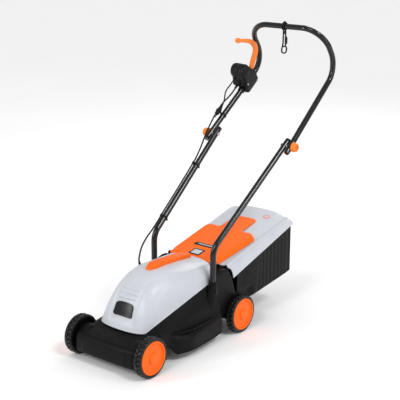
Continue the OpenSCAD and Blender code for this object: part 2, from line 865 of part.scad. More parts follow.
module lock_button() {
  color("#17171a") on_leg() {
    rod_x(24, case_in + 5, 36, 62, 8.1);
    rod_x(20, 24.1, 36, 62, 9.4);
  }
}

module lock_spring() {
  color("#8f9298") on_leg() difference() {
    rod_x(8, 15.5, 36, 62, 6);
    rod_x(7, 17, 36, 62, 4.6);
  }
}

module microswitch() {
  color("#3a3c42") on_leg() translate([-14, 26, 36]) cube([18, 28, 17]);
}

// ---- leads ----
// stress relief round a lead where it enters a housing
module gland(at, to) {
  d = unit(to - at);
  difference() {
    union() {
      bar(at, at + d * 5, 7.5);
      bar(at + d * 4, at + d * 22, 5.2);
    }
    bar(at - d, at + d * 23, lead_r + 0.02);
  }
}

// route of the motor lead, from the switch case to the hood
fold_route = [lead_top, [-195, 906, 786], [-191, 874, 772], [-187, 838, 758], [-183, 800, 736],
              [-179, 768, 712], [-176, 738, 684], [-173, 708, 652], [-169, 680, 618],
              [-164, 651, 590], [-161, 632, 573]];
lower_route = [[-160.9, 631.5, 572.6], [-160, 612, 557], [-158.5, 575, 526], [-155.5, 524, 486],
               [-153, 478, 450], [-150.5, 436, 418], [-149, 420, 405.5], [-144, 388, 384],
               [-135, 350, 366], [-124, 308, 350], [-114, 272, 330], [-107, 251, 306],
               [-103, 242, 284], [-97.8, 241.3, 268]];

module case_gland() { color("#131315") place() gland(gland_at, gland_at + gland_way); }
module hood_gland() { color("#131315") place() gland(hood_in, hood_in + hood_way); }
module lead_fold() { color("#121214") place() sweep(smooth(fold_route, 4), lead_r); }
module lead_lower() { color("#121214") place() sweep(smooth(lower_route, 4), lead_r); }

// clip on the lower left tube at height fraction t
module lead_clip(t, lead) {
  k = flip(knee);
  p = flip(pivot_low);
  c = lerp(k, p, t);
  d = unit(p - k);
  difference() {
    union() {
      bar(c - d * 5, c + d * 5, tube_r + 2.4);
      bar(lead - d * 5, lead + d * 5, lead_r + 2.2);
      translate(lerp(c, lead, 0.5)) rotate([leg_angle + 2, 0, 0]) cube([6, 8, 12], center = true);
    }
    bar(c - d * 6, c + d * 6, tube_r + 0.02);
    bar(lead - d * 6, lead + d * 6, lead_r + 0.02);
  }
}

module lead_clips() {
  color("#0f0f10") place() {
    lead_clip(0.672, [-160.4, 619.5, 563.2]);
    lead_clip(0.155, [-148.7, 417.7, 404]);
  }
}

// short mains tail from the switch to its plug, which is strapped to the leg
plug_a = [-193.5, 838, 742];
plug_b = plug_a - 42 * flip(leg);
tail_route = [[-198, 927, 841], [-198, 914, 831], [-197.5, 893, 816], [-197, 876, 806], [-197, 863, 790],
              [-196.5, 858, 770], [-195.5, 850, 754], plug_a];

module tail_lead() { color("#121214") place() sweep(smooth(tail_route, 4), 2.6); }

module tail_plug() {
  color("#0f0f10") place() {
    bar(plug_a, lerp(plug_a, plug_b, 0.35), 5);
    bar(lerp(plug_a, plug_b, 0.3), plug_b, 9);
    for (s = [-4, 4]) bar(lerp(plug_a, plug_b, 0.9) + [s, 0, 0], lerp(plug_a, plug_b, 1.4) + [s, 0, 0], 2);
  }
}

module plug_strap() {
  c = lerp(plug_a, plug_b, 0.6);
  d = flip(leg);
  foot_on_leg = flip(pivot_up) + d * ((c - flip(pivot_up)) * d);
  color("#0f0f10") place() difference() {
    union() {
      bar(c - d * 4, c + d * 4, 11);
      bar(foot_on_leg - d * 4, foot_on_leg + d * 4, tube_r + 2);
      translate(lerp(c, foot_on_leg, 0.5)) rotate([leg_angle, 0, 0]) cube([6, 8, 14], center = true);
    }
    bar(c - d * 9, c + d * 9, 9.02);
    bar(foot_on_leg - d * 5, foot_on_leg + d * 5, tube_r + 0.02);
  }
}

deck();
motor_hood();
carry_grip();
hood_badge();
hood_screws();
motor_housing();
stator();
upper_bearing();
lower_bearing();
motor_screws();
rotor();
cooling_fan();
blade_hub();
blade();
blade_bolt();
front_axle();
rear_axle();
axle_nuts();
wheel_front_left();
wheel_front_right();
wheel_rear_left();
wheel_rear_right();
cap_front_left();
cap_front_right();
cap_rear_left();
cap_rear_right();
flap_pin();
flap_spring();
rear_flap();
flap_labels();
box_body();
box_lid();
box_screws();
lower_tube_left();
lower_tube_right();
tube_screws();
pivot_bolts();
knob_left();
knob_right();
upper_handle();
cord_hook();
case_outer();
case_inner();
case_screws();
switch_lever();
lever_pin();
lever_spring();
lock_button();
lock_spring();
microswitch();
case_gland();
hood_gland();
lead_fold();
lead_lower();
lead_clips();
tail_lead();
tail_plug();
plug_strap();
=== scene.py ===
import json
import math

import bpy
import numpy as np
from mathutils import Matrix, Vector


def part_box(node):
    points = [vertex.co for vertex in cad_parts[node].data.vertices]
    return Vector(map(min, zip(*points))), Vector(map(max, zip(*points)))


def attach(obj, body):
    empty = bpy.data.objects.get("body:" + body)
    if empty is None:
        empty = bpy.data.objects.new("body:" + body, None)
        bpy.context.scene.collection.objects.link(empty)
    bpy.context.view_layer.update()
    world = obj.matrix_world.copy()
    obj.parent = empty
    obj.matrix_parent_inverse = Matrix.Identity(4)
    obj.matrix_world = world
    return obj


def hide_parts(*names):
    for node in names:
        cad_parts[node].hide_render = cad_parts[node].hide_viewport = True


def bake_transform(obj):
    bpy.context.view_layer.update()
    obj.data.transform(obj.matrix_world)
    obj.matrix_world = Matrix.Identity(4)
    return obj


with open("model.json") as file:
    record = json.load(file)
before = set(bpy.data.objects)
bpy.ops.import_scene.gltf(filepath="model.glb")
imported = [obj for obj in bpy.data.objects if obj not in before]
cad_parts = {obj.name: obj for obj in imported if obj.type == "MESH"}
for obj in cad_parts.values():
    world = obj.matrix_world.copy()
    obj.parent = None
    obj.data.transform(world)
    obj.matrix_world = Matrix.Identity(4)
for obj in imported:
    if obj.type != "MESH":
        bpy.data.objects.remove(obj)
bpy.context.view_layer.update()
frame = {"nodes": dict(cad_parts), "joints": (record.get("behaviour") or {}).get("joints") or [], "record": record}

# ---- lengths are millimetres from the middle of the front axle; metres() turns them into the row frame ----
MM = 0.001
axle_low, axle_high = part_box("front_axle")
FRONT = (axle_low.y + axle_high.y) / 2
WHEEL_R = 70.0
TUBE_R = 11.0
LEAD_R = 3.0
TAIL_R = 2.6
WELD = 0.02  # vertices closer than this are one
JOINTS = {j["name"]: j for j in frame["joints"]}
NODES = frame["nodes"]


def metres(points):
    return np.asarray(points, float) * MM + np.array([0, FRONT, 0])


def from_frame(point):
    """A point of the row frame, in millimetres from the front axle."""
    return (np.asarray(point, float) - np.array([0, FRONT, 0])) / MM


FOLD = from_frame(JOINTS["handle_fold"]["pos_m"])
FLAP = from_frame(JOINTS["flap_hinge"]["pos_m"])
SHAFT_Y = from_frame(JOINTS["blade_spin"]["pos_m"])[1]
REAR_Y = from_frame(JOINTS["spin_rear_left"]["pos_m"])[1]


# ---- small helpers ----
def unit(v):
    v = np.asarray(v, float)
    return v / np.linalg.norm(v)


def lerp(a, b, t):
    return a + (b - a) * t


def step(x, low, high):
    """0 below low, 1 above high, smooth between."""
    t = np.clip((np.asarray(x, float) - low) / (high - low), 0, 1)
    return t * t * (3 - 2 * t)


def bump(x, middle, half):
    """A smooth hump of height 1 and half width half."""
    return step(x, middle - half, middle) * (1 - step(x, middle, middle + half))


def linear(red, green, blue):
    """A screen colour from 0 to 255 as the linear colour that a shader takes."""
    c = np.array([red, green, blue]) / 255
    return tuple(np.where(c <= 0.04045, c / 12.92, ((c + 0.055) / 1.055) ** 2.4))


def smooth_path(points, steps):
    """Catmull-Rom curve through points, with steps stretches between each two."""
    p = np.asarray(points, float)
    out = []
    for i in range(len(p) - 1):
        a, b = p[max(i - 1, 0)], p[i]
        c, d = p[i + 1], p[min(i + 2, len(p) - 1)]
        for t in np.arange(steps) / steps:
            out.append(0.5 * (2 * b + (c - a) * t + (2 * a - 5 * b + 4 * c - d) * t * t
                              + (3 * b - a - 3 * c + d) * t ** 3))
    return np.array(out + [p[-1]])


def bend(a, b, c, radius, n):
    """n + 1 points along a bend of this radius at corner b."""
    a, b, c = (np.asarray(v, float) for v in (a, b, c))
    u, v = unit(a - b), unit(c - b)
    half = math.acos(float(u @ v)) / 2
    o = b + unit(u + v) * radius / math.sin(half)
    x = unit(b + u * radius / math.tan(half) - o)
    w = unit(np.cross(x, b + v * radius / math.tan(half) - o))
    y = np.cross(w, x)
    sweep_angle = math.pi - 2 * half
    return [o + radius * (math.cos(t) * x + math.sin(t) * y) for t in np.linspace(0, sweep_angle, n + 1)]


def arc(cx, cy, r, start, end, n):
    """Points of a circle between two angles in degrees."""
    return [(cx + r * math.cos(t), cy + r * math.sin(t)) for t in np.radians(np.linspace(start, end, n + 1))]


def rounded(outline, radius, n=5):
    """A closed outline with every corner rounded, by at most radius."""
    out = []
    count = len(outline)
    for i in range(count):
        a, b, c = (np.array(outline[(i + k) % count], float) for k in (-1, 0, 1))
        reach = min(radius, 0.45 * np.linalg.norm(a - b), 0.45 * np.linalg.norm(c - b))
        p, q = b + unit(a - b) * reach, b + unit(c - b) * reach
        for t in np.linspace(0, 1, n + 1):
            out.append(tuple((1 - t) ** 2 * p + 2 * t * (1 - t) * b + t * t * q))
    return out


class Build:
    """Collects vertices and faces of one piece, in millimetres from the front axle."""

    def __init__(self):
        self.verts = []
        self.faces = []

    def add(self, verts, faces):
        base = len(self.verts)
        self.verts.extend(np.asarray(verts, float).reshape(-1, 3).tolist())
        self.faces.extend([tuple(base + i for i in f) for f in faces])
        return self

    def grid(self, points, wrap=False, caps=False):
        """A sheet through rows of points; wrap closes each row, caps fills the first and last row."""
        points = np.asarray(points, float)
        rows, cols = points.shape[:2]
        faces = []
        for r in range(rows - 1):
            for c in range(cols if wrap else cols - 1):
                d = (c + 1) % cols
                faces.append((r * cols + c, r * cols + d, (r + 1) * cols + d, (r + 1) * cols + c))
        if caps:
            faces.append(tuple(reversed(range(cols))))
            faces.append(tuple(range((rows - 1) * cols, rows * cols)))
        return self.add(points, faces)

    def prism(self, outline, low, high, axis="x", place=None):
        """A closed outline drawn out along x (outline in y, z), y (x, z) or z (x, y)."""
        rows = []
        for level in (low, high):
            row = []
            for p, q in outline:
                row.append({"x": (level, p, q), "y": (p, level, q), "z": (p, q, level)}[axis])
            rows.append(row)
        rows = np.array(rows, float)
        if place is not None:
            rows = place(rows.reshape(-1, 3)).reshape(rows.shape)
        return self.grid(rows, wrap=True, caps=True)

    def turned(self, profile, middle, n=96, side=1, wobble=None):
        """A profile of (radius, x) turned round the X axis through middle; side -1 mirrors it."""
        rows = []
        for r, x in profile:
            row = []
            for a in np.arange(n) * 2 * math.pi / n:
                rr = r if wobble is None else wobble(r, x, a)
                row.append((side * x + middle[0], middle[1] + rr * math.cos(a), middle[2] + rr * math.sin(a)))
            rows.append(row)
        return self.grid(np.array(rows), wrap=True)

    def sweep(self, path, radius, sides=16, caps=True, closed=False, flat=1.0, up=(1, 0.03, 0.02)):
        """A round bar along a path; radius is a number or one for each point, flat squeezes it along up."""
        path = np.asarray(path, float)
        count = len(path)
        radius = np.broadcast_to(radius, (count,))
        rows = []
        side = None
        for i in range(count):
            if closed:
                t = unit(path[(i + 1) % count] - path[i - 1])
            else:
                t = unit(path[min(i + 1, count - 1)] - path[max(i - 1, 0)])
            side = np.asarray(up, float) if side is None else side
            side = unit(side - (side @ t) * t)
            other = np.cross(t, side)
            angles = np.arange(sides) * 2 * math.pi / sides
            rows.append([path[i] + radius[i] * (flat * math.cos(a) * side + math.sin(a) * other)
                         for a in angles])
        if closed:
            rows.append(rows[0])
        return self.grid(rows, wrap=True, caps=caps and not closed)


def make(name, build, body, slot, replaces=(), bevel=0.0, segments=2, angle=38, shell=0.0, ride=True):
    """Turns a Build into a finished piece that rides on a body, in the finish of its slot."""
    mesh = bpy.data.meshes.new(name)
    mesh.from_pydata(metres(build.verts).tolist(), [], build.faces)
    obj = bpy.data.objects.new(name, mesh)
    bpy.context.scene.collection.objects.link(obj)
    mesh.materials.append(FINISHES[slot])
    weld = obj.modifiers.new("weld", "WELD")
    weld.merge_threshold = WELD * MM
    if shell:
        wall = obj.modifiers.new("wall", "SOLIDIFY")
        wall.thickness = abs(shell) * MM
        wall.offset = -1 if shell > 0 else 1
    if bevel:
        edge = obj.modifiers.new("edge", "BEVEL")
        edge.width = bevel * MM
        edge.segments = segments
        edge.limit_method = "ANGLE"
        edge.angle_limit = math.radians(angle)
        edge.harden_normals = False
    graph = bpy.context.evaluated_depsgraph_get()
    final = bpy.data.meshes.new_from_object(obj.evaluated_get(graph))
    obj.modifiers.clear()
    obj.data = final
    bpy.data.meshes.remove(mesh)
    final.name = name
    for polygon in final.polygons:
        polygon.use_smooth = True
    final.set_sharp_from_angle(angle=math.radians(angle))
    if ride:
        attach(obj, body)
    if replaces:
        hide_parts(*replaces)
    return obj


# ---- materials ----
def shader():
    material = bpy.data.materials.new("finish")
    material.use_nodes = True
    tree = material.node_tree
    return material, tree, tree.nodes["Principled BSDF"]


def noise(tree, scale, detail=3.0, rough=0.5, stretch=(1, 1, 1)):
    """A noise value over the object's own coordinates; scale is in features per metre."""
    place = tree.nodes.new("ShaderNodeTexCoord")
    mapping = tree.nodes.new("ShaderNodeMapping")
    mapping.inputs["Scale"].default_value = stretch
    pattern = tree.nodes.new("ShaderNodeTexNoise")
    pattern.inputs["Scale"].default_value = scale
    pattern.inputs["Detail"].default_value = detail
    pattern.inputs["Roughness"].default_value = rough
    tree.links.new(place.outputs["Object"], mapping.inputs["Vector"])
    tree.links.new(mapping.outputs["Vector"], pattern.inputs["Vector"])
    return pattern.outputs["Fac"]


def spread(tree, value, low, high):
    """Maps a noise value, which lies mostly from 0.3 to 0.7, on to low..high."""
    ramp = tree.nodes.new("ShaderNodeMapRange")
    ramp.inputs["From Min"].default_value = 0.3
    ramp.inputs["From Max"].default_value = 0.7
    ramp.inputs["To Min"].default_value = low
    ramp.inputs["To Max"].default_value = high
    tree.links.new(value, ramp.inputs["Value"])
    return ramp.outputs["Result"]


def tint(tree, bsdf, value, dark, light):
    """Base colour that wanders between two close shades."""
    mix = tree.nodes.new("ShaderNodeMix")
    mix.data_type = "RGBA"
    mix.inputs[6].default_value = (*dark, 1)
    mix.inputs[7].default_value = (*light, 1)
    tree.links.new(value, mix.inputs[0])
    tree.links.new(mix.outputs[2], bsdf.inputs["Base Color"])


def relief(tree, bsdf, layers):
    """Stacks bump layers of (value, strength, depth in metres) on the normal."""
    last = None
    for value, strength, depth in layers:
        node = tree.nodes.new("ShaderNodeBump")
        node.inputs["Strength"].default_value = strength
        node.inputs["Distance"].default_value = depth
        tree.links.new(value, node.inputs["Height"])
        if last is not None:
            tree.links.new(last, node.inputs["Normal"])
        last = node.outputs["Normal"]
    tree.links.new(last, bsdf.inputs["Normal"])


def plastic(color, shade=0.06, rough=(0.3, 0.4), grain=900.0, depth=0.00012, strength=0.25,
            specular=0.5, coat=0.0):
    """Moulded plastic: a fine spark-eroded grain, slow waves from the mould, uneven gloss."""
    material, tree, bsdf = shader()
    color = np.array(color)
    light = np.minimum(color * (1 + shade), 1)
    tint(tree, bsdf, spread(tree, noise(tree, 14, 4), 0, 1), color * (1 - shade), light)
    tree.links.new(spread(tree, noise(tree, 55, 4, 0.6), *rough), bsdf.inputs["Roughness"])
    relief(tree, bsdf, [(noise(tree, grain, 2, 0.6), strength, depth), (noise(tree, 30, 1), 0.15, 0.0006)])
    bsdf.inputs["Specular IOR Level"].default_value = specular
    bsdf.inputs["Coat Weight"].default_value = coat
    bsdf.inputs["Coat Roughness"].default_value = 0.08
    return material


def paint(color):
    """Powder coat: glossy with a slight orange peel."""
    material, tree, bsdf = shader()
    color = np.array(color)
    tint(tree, bsdf, spread(tree, noise(tree, 40, 3), 0, 1), color * 0.8, color * 1.25)
    tree.links.new(spread(tree, noise(tree, 120, 3), 0.1, 0.18), bsdf.inputs["Roughness"])
    relief(tree, bsdf, [(noise(tree, 420, 1), 0.12, 0.0002)])
    bsdf.inputs["Specular IOR Level"].default_value = 0.3
    bsdf.inputs["Coat Weight"].default_value = 0.4
    bsdf.inputs["Coat Roughness"].default_value = 0.06
    return material


def metal(color, rough=(0.25, 0.4), stretch=(1, 1, 1), scale=500.0, metallic=1.0):
    """Bare metal with drawn or ground marks; stretch says along which axis they run."""
    material, tree, bsdf = shader()
    color = np.array(color)
    tint(tree, bsdf, spread(tree, noise(tree, 60, 4), 0, 1), color * 0.88, np.minimum(color * 1.08, 1))
    marks = noise(tree, scale, 4, 0.65, stretch)
    tree.links.new(spread(tree, marks, *rough), bsdf.inputs["Roughness"])
    relief(tree, bsdf, [(marks, 0.2, 0.0001)])
    bsdf.inputs["Metallic"].default_value = metallic
    return material


# one finish for each material slot of the record
FINISHES = {
    "hood_grey": plastic(linear(196, 199, 206), 0.03, (0.28, 0.4), 1100, 0.00008, 0.2),
    "deck_black": plastic(linear(9, 9, 10), 0.2, (0.36, 0.5), 800, 0.00014, 0.35, 0.12),
    "signal_orange": plastic(linear(255, 104, 0), 0.05, (0.3, 0.42), 1100, 0.00008, 0.2, 0.25),
    "lever_orange": plastic(linear(246, 130, 48), 0.06, (0.35, 0.5), 1000, 0.0001, 0.3, 0.25),
    "tube_black": paint(linear(4, 4, 5)),
    "tread_black": plastic(linear(11, 11, 13), 0.2, (0.32, 0.46), 600, 0.0002, 0.4, 0.35),
    "fitting_black": plastic(linear(7, 7, 8), 0.2, (0.34, 0.5), 900, 0.00012, 0.35, 0.25),
    "plate_black": plastic(linear(12, 12, 13), 0.2, (0.2, 0.3), 1400, 0.00004, 0.15, 0.3),
    "lead_black": plastic(linear(7, 7, 8), 0.2, (0.42, 0.6), 700, 0.00015, 0.35, 0.25),
    "button_black": plastic(linear(16, 16, 18), 0.2, (0.25, 0.35), 1100, 0.00008, 0.2, 0.3),
    "blackened_steel": metal(linear(42, 42, 45), (0.35, 0.5), metallic=0.6),
    "zinc_steel": metal(linear(188, 190, 194), (0.22, 0.36)),
    "blade_steel": metal(linear(176, 179, 184), (0.28, 0.45), (1, 30, 1), 60),
    "cast_housing": metal(linear(158, 160, 163), (0.45, 0.62), scale=260),
    "winding_copper": metal(linear(176, 96, 52), (0.3, 0.45), (1, 1, 22), 40),
    "rotor_iron": metal(linear(128, 131, 136), (0.3, 0.48), (1, 1, 30), 40),
}


for slot_name, finish in FINISHES.items():
    finish.name = slot_name


def dress_cad_nodes():
    """Gives every CAD node that stays in view the procedural finish of its slot."""
    for row in frame["record"]["subparts"]:
        mesh = NODES[row["node"]].data
        mesh.materials.clear()
        mesh.materials.append(FINISHES[row["material_slot"]])


# ---- hood ----
# each row: base y, crest y, crest z, fullness of the arch
HOOD_ROWS = np.array([
    (45, 18, 122, 2.2), (47, 26, 143, 2.2), (50, 36, 166, 2.2), (54, 46, 190, 2.2), (58, 57, 212, 2.2),
    (62, 70, 232, 2.25), (68, 86, 251, 2.3), (84, 105, 266, 2.55), (101, 126, 277, 2.8),
    (145, 171, 290, 3.25), (205, 219, 293.5, 3.3), (280, 288, 291.5, 2.9), (386, 403, 282, 2.8)])


def seam(y):
    """Half width and height of the joint between hood and deck."""
    t = (y - 45) / 337
    return 100 + 20 * t, 124 + 96 * t


def hood_row(t):
    """Base y, crest y, crest z and fullness at a share t of the way from front edge to rear."""
    table = smooth_path(HOOD_ROWS, 12)
    place = np.clip(t, 0, 1) * (len(table) - 1)
    i = min(int(place), len(table) - 2)
    return lerp(table[i], table[i + 1], place - i)


def hood_point(row, x):
    """The hood's skin at x on the arch that row describes."""
    base_y, crest_y, crest_z, n = row
    width, low = seam(base_y)
    rise = (1 - min(abs(x) / width, 1) ** n) ** (1 / n)
    return np.array([x, lerp(base_y, crest_y, rise), lerp(low, crest_z, rise)])


def hood_arch(row, shares):
    """Points of one arch at these shares of its length."""
    base_y, crest_y, crest_z, n = row
    width, low = seam(base_y)
    a = np.linspace(0, math.pi, 1601)
    x = width * np.sign(np.cos(a)) * np.abs(np.cos(a)) ** (2 / n)
    rise = np.sin(a).clip(0) ** (2 / n)
    line = np.stack([x, lerp(base_y, crest_y, rise), lerp(low, crest_z, rise)], 1)
    length = np.concatenate([[0], np.cumsum(np.linalg.norm(np.diff(line, axis=0), axis=1))])
    return np.stack([np.interp(shares * length[-1], length, line[:, k]) for k in range(3)], 1)


def inward_normals(g):
    du = np.gradient(g, axis=0)
    dv = np.gradient(g, axis=1)
    n = np.cross(dv, du)
    return n / np.maximum(np.linalg.norm(n, axis=2, keepdims=True), 1e-9)


def hood():
    lip = np.concatenate([np.linspace(0, 0.03, 14), np.linspace(0.03, 0.06, 8)[1:]])
    shares = np.concatenate([lip, np.linspace(0.06, 0.94, 150)[1:-1], 1 - lip[::-1]])
    fine = np.linspace(0, 0.7, 170)
    coarse = np.linspace(0.7, 1, 46)[1:]
    g = np.array([hood_arch(hood_row(t), shares) for t in np.concatenate([fine, coarse])])
    normals = inward_normals(g)
    x, y, z = np.abs(g[..., 0]), g[..., 1], g[..., 2]
    # sunk front panel with three louvre steps above the badge
    panel = (1 - step(x, 50, 60)) * step(z, 136, 150) * (1 - step(z, 262, 280)) * (1 - step(y, 118, 132))
    rise = np.zeros_like(x) - 3.2 * panel
    for low in (219, 233, 247):
        inside = (z > low) & (z < low + 14)
        ramp = np.where(inside, 1 - (z - low) / 14, 0)
        rise += 4.4 * ramp * (1 - step(x, 34, 44)) * step(z, low, low + 2.2) * (y < 130)
    # slightly raised top between the shoulder creases
    crease = np.interp(y, [118, 147, 208, 266, 404], [36, 52, 72, 88, 91])
    rise += 2.2 * (1 - step(x, crease - 3, crease + 4)) * step(y, 112, 150)
    # raised lip along the joint with the deck
    span = np.minimum(shares, 1 - shares)[None, :] * 500
    rise += 1.7 * (1 - step(span, 4.2, 5.8)) * np.ones_like(x)
    g = g - normals * rise[..., None]
    # rolled rear edge
    last = g[-1]
    middle = np.array([0, last[:, 1].mean(), 200.0])
    tail = [last + [0, 2.0, 0] + (middle - last) * [0.008, 0, 0.008],
            last + [0, 2.6, 0] + (middle - last) * [0.03, 0, 0.03],
            last + [0, 2.2, 0] + (middle - last) * [0.1, 0, 0.12]]
    g = np.concatenate([g, np.array(tail)])
    make("hood_shell", Build().grid(g), "mower", "hood_grey", ["motor_hood"],
         shell=-2.6, angle=30)


def patch_on_hood(half, low, high, lift, corner, rows=15, cols=31, taper=0.0):
    """A rounded patch on the nose between two crest heights, lifted off the skin."""
    heights = smooth_path(HOOD_ROWS, 12)[:, 2]
    points = []
    for v in np.linspace(-1, 1, rows):
        z = lerp(low, high, (v + 1) / 2)
        t = np.interp(z, heights[:90], np.arange(90) / (len(heights) - 1))
        edge = 1 - corner * max(0, abs(v) - 1 + corner) ** 2 / corner ** 2 * 0.9
        line = []
        for u in np.linspace(-1, 1, cols):
            x = u * half * edge * (1 - taper * (v + 1) / 2)
            here = hood_point(hood_row(t), x)
            ahead = hood_point(hood_row(t + 0.01), x)
            beside = hood_point(hood_row(t), x + 0.5)
            normal = unit(np.cross(beside - here, ahead - here))
            line.append(here + (normal if normal[1] < 0 else -normal) * lift)
        points.append(line)
    return np.array(points)


def badge():
    outer = patch_on_hood(42, 165, 209, 1.1, 0.28, taper=0.1)
    inner = patch_on_hood(43, 164, 210, -4.0, 0.28, taper=0.1)
    b = Build()
    edges = [np.concatenate([g[0], g[1:, -1], g[-1, -2::-1], g[-2:0:-1, 0]]) for g in (outer, inner)]
    b.grid(outer)
    b.grid(np.array([edges[1], edges[0]]), wrap=True)
    make("badge_plate", b, "mower", "plate_black", ["hood_badge"], angle=50)


def grip_bar():
    """The orange bar on the hood's crest that the mower is lifted by."""
    rows = []
    # y, half width, height over the hood
    stations = [(171, 6, 3.5), (173, 9.5, 7), (177, 12.5, 10.5), (184, 15.5, 13.8), (194, 18.6, 16),
                (208, 20, 17.2), (300, 20, 17.2), (376, 20, 17), (382, 19.4, 15.4), (385.5, 17.6, 12),
                (387, 15, 7)]
    for y, half, high in stations:
        z = np.interp(y, [126, 171, 219, 288, 403], [277, 290, 293.5, 291.5, 282]) + 0.5
        left = [(-half, z - 4), (-half, z + high * 0.55), (-half + 1.2, z + high * 0.82),
                (-half + 4.5, z + high)]
        outline = left + [(0, z + high + 0.8)] + [(-x, level) for x, level in reversed(left)]
        outline = smooth_path(outline, 3)
        rows.append([(p, y, q) for p, q in outline])
    rows = smooth_path(np.array(rows).reshape(len(rows), -1), 4).reshape(-1, len(rows[0]), 3)
    make("carry_bar", Build().grid(rows, wrap=True, caps=True), "mower", "signal_orange",
         ["carry_grip"], angle=50)


# ---- deck ----
def skirt_x(y):
    """Half width of the round skirt over the blade."""
    if y < SHAFT_Y:
        return math.sqrt(max(172.0 ** 2 - (SHAFT_Y - y) ** 2, 0))
    return lerp(172, 159, (y - SHAFT_Y) / 163)


def deck_section(y):
    """Half outline of the deck's side from the joint with the hood down to the ground edge."""
    width, high = seam(y)
    wall = lerp(137, 149, (y - 40) / 344)
    reach = skirt_x(y) - wall
    flare = wall + 0.5 * (reach + math.sqrt(reach * reach + 36))
    open_up = float(step(reach, -6, 16))
    shelf = lerp(104, 122, (y - 40) / 344)
    foot = lerp(62, 27, open_up)
    points = [(width - 9, high - 5), (width - 3, high - 1.5), (width + 2.5, high - 1.2),
              (width + 6, high - 4), (lerp(width, wall, 0.5), lerp(high, shelf, 0.32)),
              (lerp(width, wall, 0.84), lerp(high, shelf, 0.66)), (wall - 0.8, shelf + 3),
              (lerp(wall, flare, 0.1), shelf - 8), (lerp(wall, flare, 0.34), shelf - 17),
              (lerp(wall, flare, 0.66), shelf - 25), (lerp(wall, flare, 0.92), shelf - 34),
              (flare, shelf - 44), (flare, lerp(shelf - 44, foot, 0.5)), (flare, foot + 4),
              (flare + 1.8, foot + 0.6), (flare + 1.2, foot)]
    return smooth_path(points, 4)


def deck_sides(b):
    ys = np.concatenate([np.linspace(38, 110, 30), np.linspace(110, 388, 62)[1:]])
    for side in (1, -1):
        outer = np.array([[(side * x, y, z) for x, z in deck_section(y)] for y in ys])
        inner = outer - np.array([side * 4.0, 0, 0])
        inner[..., 2] = np.minimum(inner[..., 2] - 2.0, outer[..., 2])
        inner[:, -1, 2] = outer[:, -1, 2]
        ring = np.concatenate([outer, inner[:, ::-1]], axis=1)
        b.grid(ring, wrap=True, caps=True)


def nose(b):
    """Bumper between the front wheels: one profile in (y, z) drawn along X with rounded ends."""
    profile = smooth_path([(-38, 31), (-47, 30), (-53, 33), (-56.5, 42), (-57.5, 60), (-57, 78), (-54, 90),
                           (-47, 98.5), (-36, 103), (-10, 109.5), (20, 116.5), (42, 123)], 4)
    end = np.linspace(122, 139, 12)
    xs = np.concatenate([-end[::-1], np.linspace(-122, 122, 40)[1:-1], end])
    rows = []
    for x in xs:
        edge = max(0, abs(x) - 122) / 17
        pull = 1 - math.sqrt(max(0, 1 - edge * edge))
        bow = -2.5 + 2.5 * (x / 139) ** 2
        seam_drop = 1 - step(abs(x), 100, 104)
        line = profile.copy()
        front = 1 - step(line[:, 0], -50, 20)
        line[:, 0] += front * (bow + 15 * pull) + 1.6 * (1 - seam_drop) * front
        drop = 9 * pull * step(line[:, 1], 60, 110)
        corner = 12 * step(abs(x), 104, 139) * step(line[:, 0], -30, 40) * step(line[:, 1], 90, 115)
        line[:, 1] -= drop + corner
        rows.append([(x, y, z) for y, z in line])
    outer = np.array(rows)
    inner = outer + np.array([0, 4.0, 0])
    inner[..., 2] -= 3.0 * step(outer[..., 1], -50, -30)
    b.grid(np.concatenate([outer, inner[:, ::-1]], axis=1), wrap=True, caps=True)


def drums(b):
    """Round housings at the ends of the front axle."""
    for side in (1, -1):
        profile = [(40, 101), (44, 102.5), (45.5, 106), (45.5, 133), (44, 137.5), (40, 139.5), (14, 139.5),
                   (12, 141.5), (9, 141.5)]
        b.turned(profile, (0, 0, WHEEL_R), 72, side)


# corners of the cheek in (y, z)
CHEEK = [(360, 146), (360, 222), (371, 240), (388, 251), (408, 257), (430, 257), (447, 250), (461, 232),
         (474, 203), (484, 176), (492, 150), (505, 128), (513, 92), (520, 80), (520, 60), (506, 44),
         (484, 42), (440, 60), (390, 82)]


def cheek_outline(inset=0.0):
    outline = np.array(rounded(CHEEK, 12, 4))
    middle = np.array([435.0, 150.0])
    away = outline - middle
    return outline - away / np.linalg.norm(away, axis=1, keepdims=True) * inset


def cheeks(b):
    """Side walls behind the tube sockets, which cover the tunnel and carry the rear axle."""
    for side in (1, -1):
        rows = []
        for x, inset in ((117, 4), (118.5, 2.4), (121, 1.4), (134, 0.2), (138.5, 0.6), (141.6, 2.4),
                         (143.2, 5.5), (143.8, 10), (143.9, 22)):
            rows.append([(side * x, y, z) for y, z in cheek_outline(inset)])
        b.grid(np.array(rows), wrap=True, caps=True)


# buttress under each lower tube: middle x, half width in x, half length in y, height
SOCKET_RINGS = [(130, 18, 46, 116), (131.5, 18.4, 38, 140), (133, 18, 30, 168), (135, 16.6, 22, 196),
                (136.6, 15, 17, 214), (137, 14.4, 15, 222), (137, 13.4, 13.6, 226), (137, 11.8, 11.8, 226.6),
                (137, 11.6, 11.6, 206)]


def sockets(b):
    """Collars that the lower tubes drop into, which widen downwards into the wall."""
    turn = np.arange(48) * math.pi / 24
    for side in (1, -1):
        rings = [np.stack([side * (x + rx * np.cos(turn)), FOOT[1] + ry * np.sin(turn), z + 0 * turn], 1)
                 for x, rx, ry, z in SOCKET_RINGS]
        b.grid(np.array(rings), wrap=True)


